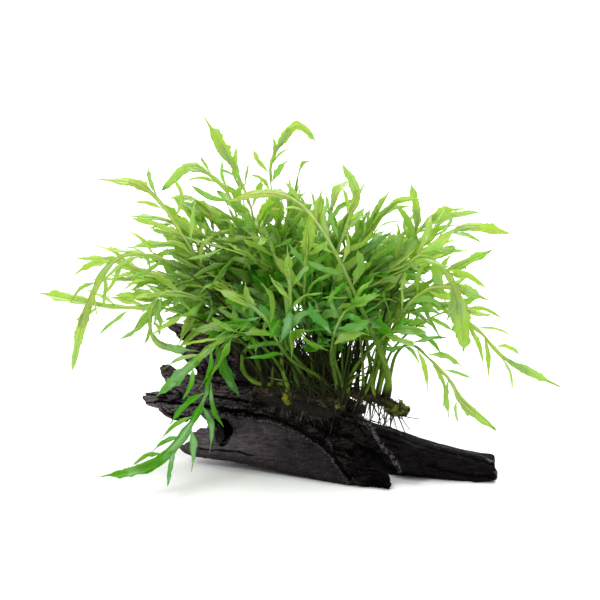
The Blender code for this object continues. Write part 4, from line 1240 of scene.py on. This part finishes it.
# One row each: how many fronds, the middle of their tips and how far the tips spread from it to the
# side and in depth, the heights of the tips, and how much lower the outermost ones are, in mm.
SHADE_PATCHES = (
    (84, (4, 40), (88, 54), (122, 184), 38),
    (16, (-66, 46), (40, 30), (146, 184), 0),
    (20, (-92, 34), (40, 32), (112, 146), 0),
    (14, (84, 34), (32, 34), (116, 158), 0),
    (10, (10, 30), (60, 30), (170, 192), 0),
)
groups = {side: leaf_bmesh()[0] for side in ("left", "front", "right")}
patches = [patch for patch in SHADE_PATCHES for _ in range(patch[0])]
for number, (_, middle, spread, heights, fall) in enumerate(patches):
    draw = random.Random(1000 + number)
    angle, reach = draw.uniform(0, math.tau), math.sqrt(draw.random())
    tip = Vector((middle[0] + math.cos(angle) * spread[0] * reach,
                  middle[1] + math.sin(angle) * spread[1] * reach,
                  draw.uniform(*heights) - fall * reach ** 2)) * MM
    side = "front" if number % 3 == 0 else ("left" if tip.x < 4 * MM else "right")
    line = RHIZOME_LINES[side]
    clump = (draw.randrange(CLUMPS) + draw.uniform(0.3, 0.7)) / CLUMPS
    bearing = 0.5 if side == "right" else 1.0
    foot, leaving = foot_on(line, (clump * bearing, draw.uniform(-50, 20)))
    knee = Vector((foot.x + (tip.x - foot.x) * 0.3, foot.y + (tip.y - foot.y) * 0.3,
                   foot.z + (tip.z - foot.z) * draw.uniform(0.58, 0.76)))
    line = smooth_line([foot, knee, tip], first_way=leaving)
    out = tip - foot
    face = (Vector((-out.x, -out.y, 0)) / out.length + Vector((0, -0.5, 0.8))).normalized()
    face = (face + Vector([draw.uniform(-0.5, 0.5) for _ in range(3)])).normalized()
    longest = draw.uniform(25, 38) * MM
    plan = leaflet_plan(line, draw.randint(4, 6), longest, draw)
    leaflets = [Leaflet(line, face, leaf, draw.uniform(-35, 35), draw.uniform(0.6, 1.2))
                for leaf in plan]
    leaflets = [leaf for leaf in leaflets if leaf.place(0.7).z > LOWEST_LEAFLET]
    leaf = frond_mesh(f"shade_{number}", face, line, plan, leaflets, SHADE_ROWS, SHADE_STEPS,
                      draw.uniform(0.6, 0.9), broad=draw.uniform(1.1, 1.5), old=0.8)
    gather(groups[side], leaf)
for side, bm in groups.items():
    fronds = add_piece("shade_fronds_" + side, bm, leaf_finish)
    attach(fronds, "root")


# Old stalks: what is left of dead leaves, a dark tangle of thin stems between the living ones. The
# thick green stalks in front of it, a runner that loops over the front rhizome, and a young leaf that
# is still curled up stand clear of it.

OLD_STALKS = 420
OLD_SIDES, THICK_SIDES, CURLED_SIDES = 4, 9, 7
OLD_STEPS, THICK_STEPS, RUNNER_STEPS, CURLED_STEPS = 8, 30, 40, 60
# Each thick stalk's points from its top to its foot, in mm.
THICK_STALKS = (
    ((-15, 40, 104), (-11.5, 36, 84), (-12, 34, 70), (-11, 34, 63), (-7.8, 34, 53), (-7.5, 36, 47)),
    ((5, 38, 96), (7.5, 33, 73), (9, 32, 62), (11, 32, 51), (11.5, 33, 45)),
    ((13, 36, 98), (14, 32, 76), (15, 31, 66), (15.5, 31, 55), (14, 31, 44)),
    ((58, 32, 98), (47, 28, 83), (34, 28, 65), (30.6, 28, 51), (26.5, 28, 38)),
    ((38, 28, 64), (30, 28, 56), (22, 29, 43)),
    ((42, 34, 96), (44, 30, 81), (46.4, 30, 65), (48, 30, 52), (52, 30, 43)),
    ((58, 33, 98), (53, 29, 85), (47.5, 29, 65), (44, 30, 54), (38, 31, 43)),
    ((45, 33, 74), (50, 31, 70), (55, 31, 63), (57.2, 31, 56), (56, 31, 46)),
)
CURLED_LEAF = ((46, 33, 52), (49, 20, 78), (55, 11, 98), (60, 8, 106), (64, 8, 103), (68, 8, 104),
               (70, 8, 109), (68, 8, 113), (65.5, 8, 111))
RUNNER = ((-30, 44, 82), (-37, 46, 72), (-37, 46, 61), (-30, 44, 54), (-20, 42, 52.5), (-12, 40, 54),
          (-8, 38, 50))


# A stem's tone is its painted light: a low tone darkens it with painted shade.
def stem_mesh(line, radii, sides, tint, painted_light_and_tone, last=0.3):
    """A bare stem with the same layers as a frond has. Its last point is dark where last is 0."""
    bm, layers = leaf_bmesh()
    steps = len(radii) - 1
    for i, vert in enumerate(add_tube(bm, spaced(line, steps), radii, sides)):
        share = min(1, i // sides / steps)
        mark(vert, layers, 0.3 + (last - 0.3) * share, STALK_ACROSS, painted_light_and_tone, tint)
    bmesh.ops.recalc_face_normals(bm, faces=bm.faces)
    return bm


# The old stalks and the curled leaf get little painted light, and the thick stalks and the runner much.
old_mesh, _ = leaf_bmesh()
for number in range(OLD_STALKS):
    draw = random.Random(3000 + number)
    side = ("left", "front", "right", "front")[number % 4]
    line = RHIZOME_LINES[side]
    bearing = 0.4 if side == "right" else 1.0
    foot, leaving = foot_on(line, (draw.uniform(0, 1) * bearing, draw.uniform(-60, 15)))
    foot -= leaving * 2.5 * MM
    lean = Vector((draw.uniform(-1, 1), draw.uniform(-0.1, 1.2), draw.uniform(0.5, 1.4))).normalized()
    tall = draw.uniform(8, 44) * MM
    sway = Vector((draw.uniform(-1, 1), draw.uniform(-1, 1), 0)) * tall * 0.25
    line = smooth_line([foot, foot + lean * tall * 0.5 + sway, foot + lean * tall], first_way=leaving)
    radius = draw.uniform(0.35, 0.9) * MM
    radii = [radius * (1 - 0.6 * i / OLD_STEPS) for i in range(OLD_STEPS + 1)]
    gather(old_mesh, stem_mesh(line, radii, OLD_SIDES, OLD_TINT, 0.1))
for number, row in enumerate(THICK_STALKS):
    radii = [(1.05 + 0.45 * i / THICK_STEPS + 0.06 * math.sin(i * 1.3 + number)) * MM
             for i in range(THICK_STEPS + 1)]
    gather(old_mesh, stem_mesh(line_through(row), radii, THICK_SIDES, GREEN_TINT, 0.8, 0.0))
radii = [(1.5 + 0.25 * math.sin(i * 0.9)) * MM for i in range(RUNNER_STEPS + 1)]
gather(old_mesh, stem_mesh(line_through(RUNNER), radii, THICK_SIDES, GREEN_TINT, 0.8))
radii = [(0.5 + 0.7 * eased((i - 30) / 12) - 0.8 * eased((i - 46) / 14)) * MM
         for i in range(CURLED_STEPS + 1)]
gather(old_mesh, stem_mesh(line_through(CURLED_LEAF), radii, CURLED_SIDES, GREEN_TINT, 0.2))
old_stalks = add_piece("old_stalks", old_mesh, leaf_finish)
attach(old_stalks, "root")


# Hair roots: wiry black-brown roots. Some wrap the rhizomes, some creep from them down over the
# wood, and some hang free under the right rhizome, where it juts past the wood's edge.

ROOT_BUNCHES = 6  # the places that the hanging roots start from
ROOTS_END = 0.62  # the share of a rhizome that roots creep down from
ROOT_STEP = 1.6 * MM
ROOT_SIDES, STRAW_SIDES = 4, 5
STRAW_STEPS = 8
# Stiff straight roots at the right rhizome's end, as points in mm.
STRAWS = (((64, 30, 36), (70, 28, 34.5), (78.5, 25, 34)), ((61, 30, 36), (57, 27, 32), (53, 24, 29.5)),
          ((66, 30, 35), (68, 29, 31), (72, 27, 26)), ((48, 32, 44), (49, 30, 38), (46, 27, 32)))

wood_tree = BVHTree.FromPolygons(
    [vert.co + ORIGIN for vert in driftwood.data.vertices],
    [tuple(face.vertices) for face in driftwood.data.polygons],
)


def wander(draw, size):
    """A small turn or step in any direction."""
    return Vector([draw.uniform(-size, size) for _ in range(3)])


def wrapping_root(draw, line):
    """A root that winds along a rhizome, just off its bark."""
    share, angle = draw.uniform(0, 1), draw.uniform(0, math.tau)
    onward, turning = draw.uniform(-1, 1), draw.uniform(-0.35, 0.35)
    off = draw.uniform(2.6, 4.9) * MM
    points = []
    for _ in range(draw.randint(6, 13)):
        along = heading(line, share)
        side = along.orthogonal().normalized()
        spoke = Matrix.Rotation(angle, 3, along) @ side
        points.append(at(line, share) + spoke * off + wander(draw, 0.4) * MM)
        share = min(max(share + onward * ROOT_STEP / length_of(line), 0), 1)
        angle += turning
        off += draw.uniform(-0.5, 0.6) * MM
        onward += draw.uniform(-0.4, 0.4)
    return points


def creeping_root(draw, line):
    """A root that clings to the wood as it wanders down from a rhizome."""
    way = Vector((draw.uniform(-1, 1), draw.uniform(-1.3, 0.5), draw.uniform(-1, 0.2))).normalized()
    points = [at(line, draw.uniform(0, ROOTS_END)) + way * RHIZOME_RADIUS * 0.7]
    rise = draw.uniform(0.2, 1.6) * MM
    for _ in range(draw.randint(6, 20)):
        wanted = points[-1] + way * ROOT_STEP
        near, normal, _, gap = wood_tree.find_nearest(wanted)
        wanted = wanted.lerp(near + normal * rise, 0.6 if gap > 3 * MM else 1.0)
        points.append(wanted)
        way = (wanted - points[-2]).normalized() + wander(draw, 0.35) + Vector((0.05, -0.10, -0.22))
        way = (way - normal * 0.1).normalized()
    return points


def hanging_root(draw, line):
    """A root that leaves the right rhizome's underside and hangs, bent, in the air."""
    way = Vector((draw.gauss(0.05, 0.34), draw.gauss(-0.1, 0.25), -1)).normalized()
    start = 0.52 + 0.42 * (draw.randrange(ROOT_BUNCHES) + draw.uniform(0, 0.4)) / ROOT_BUNCHES
    points = [at(line, start) + Vector((0, -1, -1.5)) * MM]
    for _ in range(draw.randint(9, 16)):
        points.append(points[-1] + way * ROOT_STEP)
        way = (way + wander(draw, 0.05)).normalized()
        if wood_tree.ray_cast(points[-2], way, ROOT_STEP)[0]:
            break
    return points if len(points) > 2 else points + [points[-1] + way * ROOT_STEP]


hair_finish = Finish("hair_roots", Roughness=0.6, Specular_IOR_Level=0.25)
f = hair_finish
here = f.place()
f.feed(Base_Color=f.mix(f.between(f.cloud(here, 170, 3), 0.44, 0.66),
                        (0.006, 0.004, 0.003), (0.115, 0.090, 0.066)))
HAIRS = {
    # kind: how many, how each one runs, the thinnest and the thickest in mm, and the share they taper
    "wrapping": (420, wrapping_root, 0.22, 0.55, 0.75),
    "creeping": (260, creeping_root, 0.22, 0.50, 0.75),
    "hanging": (20, hanging_root, 0.40, 0.72, 0.45),
}
for kind, (count, path, thinnest, thickest, taper) in HAIRS.items():
    bm = bmesh.new()
    draw = random.Random(kind)
    for number in range(count):
        side = "right" if kind == "hanging" else ("front", "left", "front", "right")[number % 4]
        points = path(draw, RHIZOME_LINES[side])
        thick = draw.uniform(thinnest, thickest) * MM
        root = bmesh.new()
        steps = len(points) - 1
        add_tube(root, points, [thick * (1 - taper * i / steps) for i in range(steps + 1)], ROOT_SIDES)
        gather(bm, root)
    for straw in STRAWS if kind == "hanging" else ():
        root = bmesh.new()
        radii = [(0.42 - 0.02 * i) * MM for i in range(STRAW_STEPS + 1)]
        add_tube(root, spaced(line_through(straw), STRAW_STEPS), radii, STRAW_SIDES)
        gather(bm, root)
    roots = add_piece(kind + "_hair_roots", bm, hair_finish)
    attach(roots, "root")
    if kind == "hanging":
        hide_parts("hanging_roots")


# Moss: lumps under tiny yellow-green blades, on the rhizomes' stubs and on the right one's end, and a
# bud stub there.

MOSS_BLADES = 1500
MOSS_BLADE_RADII = (0.22 * MM, 0.26 * MM, 0.05 * MM)
MOSS_TUFTS = {
    # name: centre and radii in mm, share of the blades
    "front_stub": ((-8, 36, 46), (3.6, 3.6, 6.0), 0.22),
    "left_stub": ((-25, 50, 55), (4.5, 3.5, 3.0), 0.14),
    "right_end": ((64, 31, 38.5), (8.5, 4.5, 4.5), 0.44),
    "right_stub": ((30, 33, 50), (4.5, 3.5, 3.0), 0.10),
    "front_end": ((26, 26, 44), (4.0, 3.0, 3.5), 0.10),
}
BUD_RADII = (1.9 * MM, 2.1 * MM, 1.2 * MM)
BUD_STUB = ((65, 30, 36), (65.5, 29.5, 41), (66, 29.5, 45.5))
moss_finish = Finish("moss", Roughness=0.7, Specular_IOR_Level=0.2)
f = moss_finish
here = f.place()
x, _, _ = f.split(here)
tufts = f.between(f.cloud(here, 260, 3), 0.40, 0.62)
fresh = f.mix(tufts, (0.040, 0.040, 0.006), (0.34, 0.38, 0.022))
f.feed(Base_Color=f.mix(f.between(x, 0.040, 0.050) * 0.62, fresh, (0.030, 0.034, 0.006)))
bm = bmesh.new()
for name, (centre, radii, share) in MOSS_TUFTS.items():
    draw = random.Random(name)
    knob = bmesh.new()
    bmesh.ops.create_icosphere(knob, subdivisions=4, radius=0.86)
    for vert in knob.verts:
        lumps = 0.40 * noise.noise(vert.co * 2.6 + Vector(centre))
        vert.co *= 1 + lumps + 0.12 * noise.noise(vert.co * 9)
        vert.co = (Vector(centre) + Vector([a * b for a, b in zip(vert.co, radii)])) * MM
    gather(bm, knob)
    for number in range(int(MOSS_BLADES * share)):
        way = Vector([draw.gauss(0, 1) for _ in range(3)]).normalized()
        outward = Vector([a * b for a, b in zip(way, radii)]) * draw.uniform(0.6, 0.95)
        spot = (Vector(centre) + outward) * MM
        way = (way + wander(draw, 0.6)).normalized()
        long = draw.uniform(0.6, 1.5) * MM
        points = [spot, spot + way * long * 0.5, spot + (way + wander(draw, 0.4)) * long]
        blade = bmesh.new()
        add_tube(blade, points, MOSS_BLADE_RADII, 3)
        gather(bm, blade)
stub = bmesh.new()
add_tube(stub, [Vector(p) * MM for p in BUD_STUB], BUD_RADII, 9)
gather(bm, stub)
moss = add_piece("moss_tufts", bm, moss_finish)
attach(moss, "root")


# Thread and scrap: a thin green thread that was tied round the rhizomes, drawn over their feet, a
# small pale scrap of leaf caught behind it, and a lone leaflet that hangs before the wood.

THREAD = ((-24, 46, 57), (-14, 36.5, 57.5), (4, 33, 55.5), (20, 30, 56), (33, 31, 56), (40, 36, 52))
THREAD_STEPS = 40
THREAD_RADIUS = 0.42 * MM
SCRAP = ((-4, 35, 55), (-2, 35, 60), (2, 34, 65))
LONE_LEAFLET = ((-56, 36, 84), (-52, 35, 75), (-48, 36, 62), (-40, 37, 47))

thread_finish = Finish("tying_thread", Roughness=0.5)
f = thread_finish
f.feed(Base_Color=f.mix(f.cloud(f.place(), 300), (0.07, 0.10, 0.05), (0.20, 0.26, 0.16)))
bm = bmesh.new()
add_tube(bm, spaced(line_through(THREAD), THREAD_STEPS), [THREAD_RADIUS] * (THREAD_STEPS + 1), 6)
thread = add_piece("tying_thread", bm, thread_finish)
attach(thread, "root")


def add_loose_leaflet(points, right, out, half, teeth, depth, rows):
    """A blade that no rachis carries, through points in mm, with its right and its outward way."""
    line = line_through(points)
    add_leaflet(bm, layers, lambda share: at(line, share), lambda share: (Vector(right), Vector(out)),
                half, draw, teeth, depth, rows)


bm, layers = leaf_bmesh()
draw = random.Random("scrap")
add_loose_leaflet(SCRAP, (0.8, -0.3, -0.5), (0.3, -0.9, 0.3), 2.6 * MM, 3, 0.4, 12)
for vert in bm.verts:
    vert[layers["tint"]] = OLD_TINT
add_loose_leaflet(LONE_LEAFLET, (0.95, 0.1, 0.3), (0.1, -0.9, 0.2), 3.9 * MM, 6, 0.32, 24)
bmesh.ops.solidify(bm, geom=bm.faces[:], thickness=LEAF_THICKNESS)
bmesh.ops.recalc_face_normals(bm, faces=bm.faces)
scrap = add_piece("leaf_scrap", bm, leaf_finish)
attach(scrap, "root")
